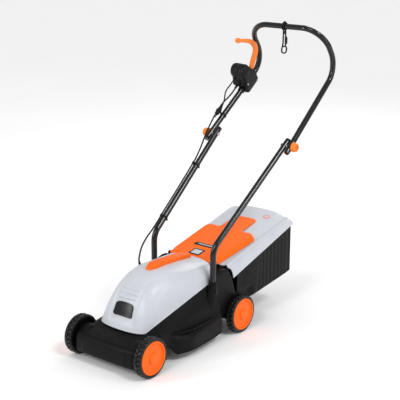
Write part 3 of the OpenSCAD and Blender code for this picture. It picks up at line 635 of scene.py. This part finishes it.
def inner_works(b):
    """Chamber roof, tunnel to the box and hinge lugs."""
    roof = [(skirt_x(y) - 3 if y > 75 else 134, y) for y in np.linspace(30, 338, 40)]
    roof = roof + [(-x, y) for x, y in reversed(roof)]
    b.prism(roof, 99, 102.5, "z")
    b.grid(np.array([[(x, y, z) for x in (-120, 120)] for y, z in
                     ((338, 99), (391, 214), (401, 251), (474, 257), (474, 261), (398, 255), (387, 218),
                      (334, 102.5), (338, 99))]))
    b.grid(np.array([[(x, y, z) for x in (-120, 120)] for y, z in
                     ((388, 46), (474, 102), (474, 106), (386, 50), (388, 46))]))
    for side in (1, -1):
        b.prism([(338, 60), (338, 104), (389, 218), (399, 255), (474, 261), (474, 102), (392, 46), (344, 46)],
                side * 116, side * 120)
        b.prism(rounded([(405, 250), (423, 250), (421, 278), (407, 278)], 6), side * 99, side * 107)


def motor_seat(b):
    """Ring that the motor stands on: turned round X, then stood upright on the blade's shaft."""
    ring = Build().turned([(70, 0), (70, 6), (66, 8), (20, 8)], (0, 0, 0), 64)
    b.add([(y, SHAFT_Y + z, 94 + x) for x, y, z in ring.verts], ring.faces)


def deck():
    b = Build()
    deck_sides(b)
    nose(b)
    drums(b)
    cheeks(b)
    sockets(b)
    inner_works(b)
    motor_seat(b)
    make("deck_shell", b, "mower", "deck_black", ["deck"], bevel=1.2, segments=2, angle=40)


# ---- flap ----
SLOPE = math.radians(10.8)
FLAP_LONG = 243
TAB_END = 348


def on_lid(points):
    """From the flap hinge's sloping frame to the machine's."""
    p = np.asarray(points, float)
    y, z = p[..., 1], p[..., 2]
    return np.stack([p[..., 0], FLAP[1] + y * math.cos(SLOPE) - z * math.sin(SLOPE),
                     FLAP[2] + y * math.sin(SLOPE) + z * math.cos(SLOPE)], -1)


def flap_height(x, half):
    """Height of the flap's top over the hinge plane, across its width."""
    inward = half - np.abs(x)
    fall = 1 - np.clip(inward / 12, 0, 1)
    return 7.6 - 18.5 * fall ** 1.3 + 1.5 * bump(inward, 17, 4.5)


def flap():
    ys = np.concatenate([np.linspace(3, 12, 8), np.linspace(12, 196, 40)[1:-1],
                         np.linspace(196, FLAP_LONG, 26)])
    edge = np.linspace(0.7, 1, 26)
    us = np.concatenate([-edge[::-1], np.linspace(-0.7, 0.7, 24)[1:-1], edge])
    rows = []
    for y in ys:
        front = float(step(y, 3, 24))
        turn = max(0, y - 212) / 31
        half = lerp(lerp(98, 109, front), 120, y / FLAP_LONG)
        half -= 26 * (1 - math.sqrt(max(0, 1 - min(turn, 1) ** 2)))
        x = us * half
        z = flap_height(x, half) - 4.5 * step(y, 236, FLAP_LONG) - 3.0 * (1 - step(y, 3, 10))
        rows.append([(a, y, c) for a, c in zip(x, z)])
    b = Build().grid(on_lid(rows))
    # finger tab that lies on the lid
    tab = []
    tab_ys = np.concatenate([np.linspace(190, 240, 10), np.linspace(244, 322, 14),
                             np.linspace(323, TAB_END, 18)])
    for y in tab_ys:
        turn = max(0, y - 323) / 25
        half = 51 + 6 * (1 - step(y, 228, 252)) - 24 * (1 - math.sqrt(max(0, 1 - turn ** 2)))
        x = np.linspace(-half, half, 34)
        ends = 3.4 * step(y, 341, TAB_END) + 4 * (1 - step(y, 190, 200))
        z = 8.6 - 3.2 * step(np.abs(x), half - 4, half) - ends
        tab.append([(a, y, c) for a, c in zip(x, z)])
    b.grid(on_lid(tab))
    make("flap_shell", b, "flap", "signal_orange", ["rear_flap"], shell=3.2,
                      bevel=0.9, segments=2, angle=45)
    knuckle = Build()
    for low, high in ((-97.5, 22), (42, 97.5)):
        barrel = [(2.7, low), (6.2, low), (6.9, low + 0.8), (6.9, high - 0.8), (6.2, high), (2.7, high)]
        knuckle.turned(barrel, (0, FLAP[1], FLAP[2]), 28)
        leaf = [(low + 2, 0, 4.5), (high - 2, 0, 4.5), (high - 2, 12, 5.0), (low + 2, 12, 5.0)]
        top = on_lid(leaf)
        bottom = on_lid(np.array(leaf) - [0, 0, 3.2])
        sides = [(i, i + 4, (i + 1) % 4 + 4, (i + 1) % 4) for i in range(4)]
        knuckle.add(np.concatenate([top, bottom]), [(0, 1, 2, 3), (7, 6, 5, 4)] + sides)
    make("flap_knuckles", knuckle, "flap", "signal_orange")


def flap_plates():
    """The dark strip in the finger slot and the blank plate before it."""
    b = Build()
    b.prism(rounded([(-52, 75), (52, 75), (52, 95), (-52, 95)], 4), 7.0, 8.5, "z", on_lid)
    b.prism(rounded([(-25, 9), (25, 9), (25, 52), (-25, 52)], 3), 7.0, 8.2, "z", on_lid)
    make("flap_plates", b, "flap", "plate_black", ["flap_labels"], bevel=0.5)
    ridge = Build()
    ridge.prism(rounded([(-34, 82.5), (34, 82.5), (34, 87.5), (-34, 87.5)], 2), 8.3, 9.3, "z", on_lid)
    ridge.prism(rounded([(-18, 16), (18, 16), (18, 45), (-18, 45)], 2), 8.0, 8.6, "z", on_lid)
    make("flap_plate_insets", ridge, "flap", "hood_grey", bevel=0.3)


# ---- grass box ----
LID_REAR = 846
BOX_FRONT = 500
BOX_ROLL = 838  # from here the box's rear edge rounds off
BOX_REAR = 844
SPOUT_FRONT = 462
DISC_X, DISC_Y = 62, 790


def lid_top(y, x=0.0):
    """Top of the lid: slopes up to the rear and is crowned in the middle there."""
    return 275 + (y - 425) * 0.192 + 8 * step(y, 600, LID_REAR) * (1 - min(abs(x) / 125, 1) ** 2)


def lid_edge(y):
    return 218 + (y - 477) * 0.302


# how far the lid has fallen towards its lower edge, at distances from its middle
LID_X = [0, 88, 96, 103, 108, 114, 119, 121.5, 124, 130, 132, 134.5, 140, 144, 147, 149, 150]
LID_FALL = [0, 0, 0.05, 0.14, 0.2, 0.25, 0.27, 0.27, 0.24, 0.25, 0.3, 0.4, 0.45, 0.54, 0.7, 0.88, 1]


def lid():
    """Grey lid: flat top, stepped shoulders, rounded rear corners, front cut round the cheeks."""
    half = np.concatenate([np.linspace(0, 98, 14), np.linspace(100, 149.4, 66), [149.8, 150, 150, 150]])
    lip = np.concatenate([np.zeros(len(half) - 2), [0.5, 1.0]])
    us = np.concatenate([-half[::-1], half[1:]])
    low = np.concatenate([lip[::-1], lip[1:]])
    shares = np.concatenate([np.linspace(0, 0.9, 64), np.linspace(0.9, 0.965, 18)[1:],
                             np.linspace(0.965, 1, 22)[1:]])
    fall = smooth_path(np.stack([LID_X, LID_FALL], 1), 4)
    rows = []
    for s in shares:
        row = []
        for x, drop_lip in zip(us, low):
            start = np.interp(abs(x), [0, 103, 118, 140, 150], [434, 435, 446, 457, 469])
            y = lerp(start, LID_REAR, s)
            share = np.interp(abs(x), fall[:, 0], fall[:, 1])
            z = lerp(lid_top(y, x), lid_edge(y) + 2, share) - 5 * drop_lip
            roll = np.clip((y - 836) / 10, 0, 1)
            z -= 7 * (1 - share) * (1 - math.sqrt(max(0, 1 - roll ** 2)))
            corner = 1 - math.sqrt(max(0, 1 - np.clip((y - 796) / 50, 0, 1) ** 2))
            row.append((x * (1 - 0.1 * (1 - share) * corner), y, z))
        rows.append(row)
    last = np.array(rows[-1])
    rows.extend((last + [0, 0, drop]).tolist() for drop in (-3, -8))
    sink = np.minimum(last[:, 2], lid_edge(BOX_ROLL) + 6)
    rows.append(np.stack([last[:, 0], last[:, 1], sink], 1).tolist())
    make("box_lid_shell", Build().grid(np.array(rows)), "grass_box", "hood_grey", ["box_lid"],
         shell=2.8, angle=34)
    turn = np.arange(40) * math.pi / 20
    for name, outer, inner, lift, finish in (("lid_disc_rim", 13.4, 10.4, 0.9, "signal_orange"),
                                             ("lid_disc", 10.4, 0.05, 0.7, "hood_grey")):
        disc = Build()
        rings = []
        for r, up in ((inner, lift), (outer - 0.6, lift), (outer, lift - 0.4), (outer, -1.0)):
            y = DISC_Y + r * np.sin(turn)
            rings.append(np.stack([DISC_X + r * np.cos(turn), y, lid_top(y, DISC_X) + up], 1))
        disc.grid(np.array(rings), wrap=True)
        make(name, disc, "grass_box", finish)


def box_side(y, z):
    """Half width of the box: narrow beside the rear wheels, full behind them, with faint upright ribs."""
    full = lerp(146.5, 144.5, step(y, 800, 840))
    tuck = (1 - step(y, 566, 604)) * (1 - step(z, 138, 158))
    ahead = 1 - step(y, BOX_FRONT, 600)
    x = full - 6.5 * tuck - 3.2 * ahead
    panel = step(y, 618 + (z - 150) * 0.12, 626 + (z - 150) * 0.12) * (1 - step(y, 822, 830))
    inside = step(z - box_floor(y), 8, 14) * (1 - step(z, lid_edge(y) - 14, lid_edge(y) - 8))
    ribs = 0.5 + 0.5 * math.cos((y - 640) * 2 * math.pi / 24)
    return x - 1.2 * panel * inside + 0.7 * panel * inside * ribs ** 3


def box_floor(y):
    return 96 + (y - 518) * 0.122


def box():
    b = Build()
    ys = np.concatenate([np.linspace(BOX_FRONT, 640, 46), np.linspace(640, BOX_ROLL, 80)[1:],
                         [840, 842, 843.5, BOX_REAR]])
    rows = []
    for y in ys:
        top, low = lid_edge(min(y, 830)) - 1, box_floor(min(y, BOX_ROLL))
        low += 26 * (1 - step(y, BOX_FRONT, 520))
        shrink = 1 - 0.05 * max(0, (y - BOX_ROLL) / (BOX_REAR - BOX_ROLL)) ** 2
        right = [(box_side(y, z) * shrink, y, z) for z in np.linspace(top, low + 9, 40)]
        x = right[-1][0]
        right += [(x - 0.8, y, low + 5), (x - 2.6, y, low + 2), (x - 6, y, low), (x * 0.5, y, low)]
        rows.append(right + [(-p[0], p[1], p[2]) for p in reversed(right)])
    rows = np.array(rows)
    b.grid(rows)
    # rear wall
    last = rows[-1]
    rear = []
    for s in np.linspace(1, 0, 12):
        rear.append(np.stack([last[:, 0] * s, np.full(len(last), BOX_REAR + 1.2 * (1 - s)), last[:, 2]], 1))
    b.grid(np.array(rear))
    make("box_shell", b, "grass_box", "deck_black", ["box_body"], shell=2.6, angle=32)
    front = Build()
    for side in (1, -1):
        wing = [(side * 108, 108), (side * 139, 118), (side * 141, 222), (side * 108, 222)]
        front.prism(rounded(wing, 3), BOX_FRONT, BOX_FRONT + 3, "y")
        spout = [(side * 110, 112), (side * 113, 112), (side * 113, 243), (side * 110, 243)]
        front.prism(spout, SPOUT_FRONT, BOX_FRONT + 3, "y")
    for low, high in ((108, 112), (240, 243)):
        front.prism([(-113, low), (113, low), (113, high), (-113, high)], SPOUT_FRONT, BOX_FRONT + 3, "y")
    make("box_front", front, "grass_box", "deck_black", bevel=0.8)


# ---- wheels ----
def tread(r, x, a):
    """Staggered blocks round the tread and over its shoulders."""
    if r < 60 or x > 174.5:
        return r
    half = 1 if x > 159.5 else 0
    lean = (x - 159.5) * 0.006
    phase = (a + lean * (1 if half else -1)) * 26 / (2 * math.pi) + 0.5 * half
    gap = phase - math.floor(phase)
    groove = 1 - np.clip(1 - (abs(gap - 0.5) - 0.3) / 0.1, 0, 1)
    middle = bump(x, 159.5, 2.4)
    depth = max(groove, middle) * (1 - step(x, 171.5, 174))
    return r - 4.2 * depth


def wheel(name, side, y):
    """One wheel: blocky tread, web and hub, and an orange cap with a raised middle."""
    tread_x = (150, 153, 156, 157.2, 158.2, 159.5, 160.8, 161.8, 163, 166, 169)
    profile = [(5.1, 146), (14, 146), (14, 153), (52, 153), (55, 150), (57, 145.5), (60.5, 144.4),
               (65, 144.6), (68, 145.6), (69.6, 147.5)]
    profile += [(WHEEL_R, x) for x in tread_x]
    profile += [(69.6, 171.5), (68.4, 173.4), (66.4, 174.7), (63.5, 175), (60.4, 175), (59.4, 174), (59, 166),
                (20, 166), (16, 161), (16, 167), (5.1, 167)]
    body = "wheel_unit_" + name
    ring = Build().turned(profile, (0, y, WHEEL_R), 312, side, tread)
    make("tyre_" + name, ring, body, "tread_black", ["wheel_" + name], angle=32)
    cap = [(0.05, 172), (12, 171.5), (18, 170.5), (50, 168.5), (52, 166.4), (57, 166.4), (58.2, 168),
           (58.5, 173), (58.2, 175.4), (57.2, 176.9), (55.6, 177.6), (53, 177.4), (51.6, 176), (50.6, 173),
           (49.4, 171.4), (46, 171), (34, 171.4), (24, 172.4), (20.6, 173.2), (19.4, 176.6), (18.4, 178.4),
           (16.5, 179.2), (14, 179.6), (10, 180.2), (5, 180.8), (0.05, 181)]
    make("hub_" + name, Build().turned(smooth_path(cap, 2), (0, y, WHEEL_R), 96, side), body,
         "signal_orange", ["cap_" + name], angle=40)


# ---- handle ----
FOOT = np.array([137.0, 364, 137])
KNEE = np.array([137.0, 364, 347])
PIVOT_LOW = np.array([160.3, FOLD[1], FOLD[2]])
PIVOT_UP = np.array([185.5, FOLD[1], FOLD[2]])
ELBOW = np.array([172.0, 1083, 900])
GRIP_TOP = np.array([172.0, 975, 1056])
FLIP = np.array([-1.0, 1, 1])
ALONG_LEG = unit(ELBOW - PIVOT_UP)
LEG = math.atan2(ALONG_LEG[2], ALONG_LEG[1])
CASE = (PIVOT_UP + 237.4 * ALONG_LEG) * FLIP


def densify(path, spacing):
    out = []
    for a, b in zip(path[:-1], path[1:]):
        n = max(1, int(np.linalg.norm(np.array(b) - np.array(a)) / spacing))
        out += [lerp(np.array(a, float), np.array(b, float), k / n) for k in range(n)]
    return np.array(out + [np.array(path[-1], float)])


def tube_ends(path, squeeze):
    """Radius along a tube that tapers in a little at a capped end."""
    radii = np.full(len(path), TUBE_R)
    radii[0] = TUBE_R - 1.2
    radii[-1] = TUBE_R - squeeze
    return radii


def lower_tube(name, side):
    mirror = FLIP if side < 0 else 1
    upward = unit(PIVOT_LOW - KNEE)
    top = PIVOT_LOW + 29 * upward
    path = densify([FOOT] + bend(FOOT, KNEE, PIVOT_LOW, 60, 16) + [top], 12)
    path = np.concatenate([path, [top + 0.9 * upward]])
    b = Build().sweep(path * mirror, tube_ends(path, 1.0), 28)
    stopper = np.array([top + k * upward for k in (-4, 1.0, 1.8)])
    b.sweep(stopper * mirror, [9.4, 9.4, 8.2], 24)
    make(name, b, "mower", "tube_black", [name.replace("leg", "lower_tube")], angle=50)


def upper_handle():
    end = PIVOT_UP + 33 * unit(PIVOT_UP - ELBOW)
    half = [end] + bend(end, ELBOW, GRIP_TOP, 79, 18) + bend(ELBOW, GRIP_TOP, GRIP_TOP * FLIP, 91, 22)
    path = densify(half + [p * FLIP for p in reversed(half)], 12)
    make("handle_bar", Build().sweep(path, tube_ends(path, 0.9), 28, up=(0, 0.98, -0.17)), "handle",
         "tube_black", ["upper_handle"], angle=50)


def knob(name, side):
    """Fluted clamping knob with a flange and a sunk end."""
    def flute(r, x, a):
        deep = step(r, 13.5, 16) * step(x, 200.4, 201.6) * (1 - step(x, 211.8, 213.6))
        return r - 1.9 * deep * (0.5 - 0.5 * math.cos(8 * a)) ** 2
    profile = [(3.1, 197), (11, 197), (17.6, 197.8), (18.7, 198.4), (18.9, 199.6), (18.3, 200.4), (17.6, 201),
               (17.4, 203), (17.1, 206), (16.8, 209.5), (16.3, 211.8), (15.4, 213.4), (13.6, 214.6),
               (11, 215), (9.6, 214.6), (9, 213.4), (8.8, 211.5), (8.2, 210.6), (4.2, 210.4), (3.6, 209.8),
               (3.1, 208.9)]
    node = name.replace("star_", "")
    body = Build().turned(profile, (0, FOLD[1], FOLD[2]), 96, side, flute)
    make(name, body, "fold_" + node, "lever_orange", [node], angle=34)


# ---- switch ----
def on_leg(points):
    """From the left leg's frame (across, along the leg, out towards the nose) to the machine's."""
    p = np.asarray(points, float)
    x, a, n = p[..., 0], p[..., 1], p[..., 2]
    c, s = math.cos(LEG), math.sin(LEG)
    return np.stack([x + CASE[0], CASE[1] + a * c - n * s, CASE[2] + a * s + n * c], -1)


def case_outline(inset=0.0):
    return (arc(8, -3, 13 - inset, 180, 270, 6) + arc(68, -3, 13 - inset, 270, 360, 6)
            + arc(70, 36, 14 - inset, 0, 90, 6) + arc(42, 62, 29 - inset, 60, 200, 16))


def drum_outline(inset=0.0):
    return (arc(42, 62, 29 - inset, 30, 205, 26) + arc(10, 24, 10 - inset, 190, 275, 6)
            + arc(48, 16, 9 - inset, 275, 350, 5))


def pillow(b, outline_at, levels):
    """Stacks an outline on the leg at several levels, each drawn in by its inset, into a rounded block."""
    rows = [[(x, y, z) for y, z in outline_at(inset)] for x, inset in levels]
    b.grid(on_leg(rows), wrap=True, caps=True)


def ring_round_leg(b, low, high, radius, chamfer):
    """A collar round the leg between two stations along it."""
    bore, slim = TUBE_R + 0.4, radius - chamfer
    stations = [(bore, low), (slim, low), (radius, low + chamfer), (radius, high - chamfer), (slim, high),
                (bore, high)]
    turn = np.arange(36) * math.pi / 18
    rings = [[(-ALONG_LEG[0] * a + r * math.cos(t), a, r * math.sin(t)) for t in turn] for r, a in stations]
    b.grid(on_leg(rings), wrap=True)


def switch_case():
    outer = Build()
    pillow(outer, drum_outline, ((-36.8, 8), (-36.2, 5), (-34.6, 2.2), (-32, 0.6), (-29, 0), (-17.4, 0),
                                 (-17.2, 0.7), (-16.4, 0.7), (-16.2, 0), (-4.6, 0), (-3, 1.2), (-1, 1.4)))
    pillow(outer, case_outline, ((-14.5, 6), (-13.4, 3), (-11, 1), (-8, 0), (-1.4, 0), (-0.5, 0.9)))
    ring_round_leg(outer, -9, -2, TUBE_R + 3.4, 1.2)
    make("case_half_outer", outer, "handle", "fitting_black", ["case_outer"], angle=44)
    inner = Build()
    pillow(inner, case_outline, ((0.5, 0.9), (1.4, 0), (24, 0), (27.6, 0.8), (30.2, 2.8), (31.4, 5), (32, 8)))
    ring_round_leg(inner, 82, 92, TUBE_R + 3.2, 1.4)
    make("case_half_inner", inner, "handle", "fitting_black", ["case_inner"], angle=44)


def switch_lever():
    """Hand lever: a flattened arm that swells in the middle, with a cross bar at its end."""
    line = smooth_path([(60, 26), (70, 38), (84, 54), (108, 68), (133, 82), (144, 104), (135, 132),
                        (113, 160), (91, 181), (75.5, 196.5)], 6)
    count = len(line)
    rows = []
    for i, (a, n) in enumerate(line):
        t = unit(line[min(i + 1, count - 1)] - line[max(i - 1, 0)])
        share = i / (count - 1)
        thick = np.interp(share, [0, 0.15, 0.45, 0.7, 1], [8, 11, 13.5, 9, 6])
        wide = np.interp(share, [0, 0.3, 0.7, 1], [6.4, 7, 6.8, 6.2])
        ring = []
        for k in np.arange(24) * math.pi / 12:
            u = np.sign(math.cos(k)) * abs(math.cos(k)) ** 0.62
            v = np.sign(math.sin(k)) * abs(math.sin(k)) ** 0.62
            ring.append((22 + wide * u, a - t[1] * thick * v, n + t[0] * thick * v))
        rows.append(ring)
    b = Build().grid(on_leg(rows), wrap=True, caps=True)
    hub = discs(((15, 8.5), (15.6, 10), (28.4, 10), (29, 8.5)), 70, 38, 32)
    b.grid(on_leg(hub), wrap=True, caps=True)
    end = discs(((14, 6), (14.4, 8.6), (15.8, 9.8), (28.2, 9.8), (29.6, 8.6), (30, 6)), 75.5, 196.5, 32)
    b.grid(on_leg(end), wrap=True, caps=True)
    make("lever_arm", b, "lever", "lever_orange", ["switch_lever"], angle=45)


def discs(levels, a, n, count):
    """Circles at (x, radius) levels round a point of the leg's frame."""
    turn = np.arange(count) * 2 * math.pi / count
    return [[(x, a + r * math.cos(k), n + r * math.sin(k)) for k in turn] for x, r in levels]


def button():
    rings = discs(((20, 9.3), (24, 9.3), (24.1, 8.0), (35.6, 8.0), (36.6, 7.4), (37, 6.2), (36.6, 3),
                   (36.4, 0.1)), 36, 62, 40)
    make("lock_cap", Build().grid(on_leg(rings), wrap=True, caps=True), "button", "button_black",
         ["lock_button"], angle=40)


# ---- cord hook ----
def cord_hook():
    """Snap-on cord hook: a ring round the grip, two strands and a rounded loop at the bottom."""
    o = GRIP_TOP * [0, 1, 1]
    b = Build()
    r = TUBE_R + 2.4
    ring = [(0, r * math.cos(t), r * math.sin(t)) for t in np.arange(40) * math.pi / 20]
    for x in (-3.6, 3.6):
        b.sweep(np.array(ring) + o + [x, 0, 0], 2.6, 12, closed=True, up=(1, 0, 0))
    b.prism(rounded([(-6, 12), (6, 12), (4.6, 19.4), (-4.6, 19.4)], 3), -3, 3, "y", lambda p: p + o)
    left = smooth_path([(-4.8, 0, -12), (-5.4, 0, -36), (-5.6, 0, -60), (-8, 0, -76), (-11, 0, -88),
                        (-10.2, 0, -99), (-3, 0, -102.5), (6, 0, -100), (10.8, 0, -90), (9.6, 0, -79),
                        (3, 0, -76.5), (-6, 0, -78)], 7)
    b.sweep(left + o, 2.9, 12, up=(0, 1, 0))
    right = smooth_path([(4.8, 0, -12), (5.2, 0, -36), (5.2, 0, -60), (5.0, 0, -76)], 6)
    b.sweep(right + o, 2.9, 12, up=(0, 1, 0))
    block = rounded([(4, -36), (9, -38), (12, -45), (12, -62), (9, -69), (4, -70)], 2.5)
    b.prism(block, -4, 4, "y", lambda p: p + o)
    b.prism(rounded([(-7, -18), (7, -18), (6, -29), (-6, -29)], 2), -2.8, 2.8, "y", lambda p: p + o)
    make("hook_loop", b, "hook", "fitting_black", ["cord_hook"], bevel=0.5, angle=46)


# ---- leads ----
LEAD_TOP = np.array([-195.4, 932, 806.5])
FOLD_ROUTE = [LEAD_TOP, (-195, 906, 786), (-191, 874, 772), (-187, 838, 758), (-183, 800, 736),
              (-179, 768, 712), (-176, 738, 684), (-173, 708, 652), (-169, 680, 618), (-164, 651, 590),
              (-161, 632, 573)]
LOWER_ROUTE = [FOLD_ROUTE[-1], (-160, 612, 557), (-158.5, 575, 526), (-155.5, 524, 486), (-153, 478, 450),
               (-150.5, 436, 418), (-149, 420, 405.5), (-144, 388, 384), (-135, 350, 366), (-124, 308, 350),
               (-114, 272, 330), (-107, 251, 306), (-103, 242, 284), (-97.8, 241.3, 268)]
TAIL_ROUTE = [(-198, 930, 843.5), (-198, 914, 831), (-197.5, 893, 816), (-197, 876, 806), (-197, 863, 790),
              (-196.5, 858, 770), (-195.5, 850, 754), (-193.5, 838, 742)]


def leads():
    fold = Build().sweep(smooth_path(FOLD_ROUTE, 8), LEAD_R, 14)
    piece = make("lead_across_fold", fold, "handle", "lead_black", ["lead_fold"], ride=False)
    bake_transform(piece)
    lower = Build().sweep(smooth_path(LOWER_ROUTE, 8), LEAD_R, 14)
    make("lead_down_leg", lower, "mower", "lead_black", ["lead_lower"])
    tail = Build().sweep(smooth_path(TAIL_ROUTE, 8), TAIL_R, 14)
    make("mains_tail", tail, "handle", "lead_black", ["tail_lead"])


def gland(name, node, at, to, body):
    """Tapered strain relief with rings along it."""
    at, to = np.array(at, float), np.array(to, float)
    d = unit(to - at)
    stations = [(-1, 7.4), (3, 7.4), (4.2, 6.6), (5, 5.6)]
    for k in range(5):
        ridge, groove = 5.6 - 0.35 * k, 4.6 - 0.25 * k
        start = 3.2 * k
        stations += [(6 + start, ridge), (7.6 + start, ridge), (8.0 + start, groove), (8.8 + start, groove)]
    path = [at + d * s for s, _ in stations]
    make(name, Build().sweep(path, [r for _, r in stations], 24), body, "lead_black", [node])


def lead_clips():
    b = Build()
    knee, pivot = KNEE * FLIP, PIVOT_LOW * FLIP
    d = unit(pivot - knee)
    for share, lead in ((0.672, (-160.4, 619.5, 563.2)), (0.155, (-148.7, 417.7, 404))):
        c, lead = lerp(knee, pivot, share), np.array(lead, float)
        for middle, r in ((c, TUBE_R + 1.9), (lead, LEAD_R + 1.6)):
            path = [middle + d * s for s in (-5, -4.2, 4.2, 5)]
            b.sweep(path, [r - 0.7, r, r, r - 0.7], 28)
        across = unit(lead - c)
        out = unit(np.cross(d, across))
        for s in (-1, 1):
            tip = c - across * (TUBE_R + 5) + out * s * 2.2
            b.sweep([c - across * TUBE_R * 0.8 + out * s * 2.2, tip], [3.0, 2.2], 10)
        b.sweep([c + across * TUBE_R * 0.8, lead], [4.2, 3.2], 12)
    make("clip_pair", b, "mower", "fitting_black", ["lead_clips"], bevel=0.4, angle=46)


def plug():
    a = np.array(TAIL_ROUTE[-1])
    d = ALONG_LEG * FLIP
    stations = [(-1, 3.4), (4, 4.6), (10, 5.2), (12.5, 6.6), (14, 8.4), (18, 8.9), (24, 8.6), (30, 8.8),
                (38, 8.9), (41, 8.2), (42, 6.8)]
    b = Build().sweep([a - d * s for s, _ in stations], [r for _, r in stations], 28)
    for s in (-4, 4):
        pins = [(38, 2), (57, 2), (58.6, 1.3)]
        b.sweep([a - d * k + [s, 0, 0] for k, _ in pins], [r for _, r in pins], 12)
    make("mains_plug", b, "handle", "lead_black", ["tail_plug"], angle=46)
    c = a - d * 25
    pivot = PIVOT_UP * FLIP
    leg = pivot + d * ((c - pivot) @ d)
    strap = Build().sweep([c + d * s for s in (-4, -3.2, 3.2, 4)], [10.2, 11, 11, 10.2], 32)
    ring = [TUBE_R + grow for grow in (1.2, 2, 2, 1.2)]
    strap.sweep([leg + d * s for s in (-4, -3.2, 3.2, 4)], ring, 36)
    strap.sweep([c, leg], [3.5, 3.5], 12)
    make("strap_band", strap, "handle", "fitting_black", ["plug_strap"], angle=46)


# ---- stage ----
CAMERA_AT = np.array([2332.0, -2457.7, 1561.4])
CAMERA_AZIMUTH = 38.63
CAMERA_ELEVATION = 16.15
CAMERA_ROLL = 0.23
CAMERA_LENS = 96.86


def camera():
    data = bpy.data.cameras.new("camera")
    data.lens = CAMERA_LENS
    data.sensor_width = 36
    data.clip_end = 50
    obj = bpy.data.objects.new("camera", data)
    look = (Matrix.Rotation(math.radians(CAMERA_AZIMUTH), 4, "Z")
            @ Matrix.Rotation(math.radians(90 - CAMERA_ELEVATION), 4, "X")
            @ Matrix.Rotation(math.radians(CAMERA_ROLL), 4, "Z"))
    obj.matrix_world = Matrix.Translation(Vector(metres(CAMERA_AT))) @ look
    bpy.context.scene.collection.objects.link(obj)
    bpy.context.scene.camera = obj


def softbox(name, at, size, power, target=(0, 0, 0.4)):
    data = bpy.data.lights.new(name, "AREA")
    data.shape = "RECTANGLE"
    data.size, data.size_y = size
    data.energy = power
    obj = bpy.data.objects.new(name, data)
    obj.location = at
    obj.rotation_euler = (Vector(target) - Vector(at)).to_track_quat("-Z", "Y").to_euler()
    bpy.context.scene.collection.objects.link(obj)


def sun(name, direction, strength, angle):
    data = bpy.data.lights.new(name, "SUN")
    data.energy = strength
    data.angle = math.radians(angle)
    obj = bpy.data.objects.new(name, data)
    obj.rotation_euler = Vector(direction).to_track_quat("Z", "Y").to_euler()
    bpy.context.scene.collection.objects.link(obj)


def studio():
    material, tree, bsdf = shader()
    material.name = "studio_floor"
    tint(tree, bsdf, spread(tree, noise(tree, 2, 2), 0, 1), (0.955, 0.955, 0.957), (0.965, 0.965, 0.965))
    bsdf.inputs["Roughness"].default_value = 0.9
    bsdf.inputs["Specular IOR Level"].default_value = 0.1
    mesh = bpy.data.meshes.new("floor")
    size = 30
    corners = [(-size, -size, 0), (size, -size, 0), (size, size, 0), (-size, size, 0)]
    mesh.from_pydata(corners, [], [(0, 1, 2, 3)])
    mesh.materials.append(material)
    floor = bpy.data.objects.new("floor", mesh)
    bpy.context.scene.collection.objects.link(floor)
    world = bpy.data.worlds.new("studio")
    world.use_nodes = True
    world.node_tree.nodes["Background"].inputs["Color"].default_value = (1, 1, 1, 1)
    world.node_tree.nodes["Background"].inputs["Strength"].default_value = 0.58
    bpy.context.scene.world = world
    sun("key", (0.6, -0.05, 0.8), 0.8, 12)
    sun("fill", (0.1, -0.75, 0.65), 0.7, 22)
    softbox("strip_right", (2.9, 0.6, 1.7), (0.14, 2.4), 20, (0, 0.3, 0.7))
    softbox("strip_left", (-1.6, -3.0, 1.7), (0.3, 1.6), 22)
    softbox("back", (-0.6, 3.2, 2.6), (1.8, 0.5), 26)
    bpy.context.scene.view_settings.view_transform = "Standard"


dress_cad_nodes()
camera()
studio()
hood()
badge()
grip_bar()
deck()
flap()
flap_plates()
lid()
box()
wheel("front_left", -1, 0)
wheel("front_right", 1, 0)
wheel("rear_left", -1, REAR_Y)
wheel("rear_right", 1, REAR_Y)
lower_tube("leg_left", -1)
lower_tube("leg_right", 1)
upper_handle()
knob("star_knob_left", -1)
knob("star_knob_right", 1)
switch_case()
switch_lever()
button()
cord_hook()
leads()
gland("case_relief", "case_gland", LEAD_TOP + [-0.1, 10, 7.9], LEAD_TOP, "handle")
gland("hood_relief", "hood_gland", (-95.5, 241, 261), (-103, 242, 284), "mower")
lead_clips()
plug()
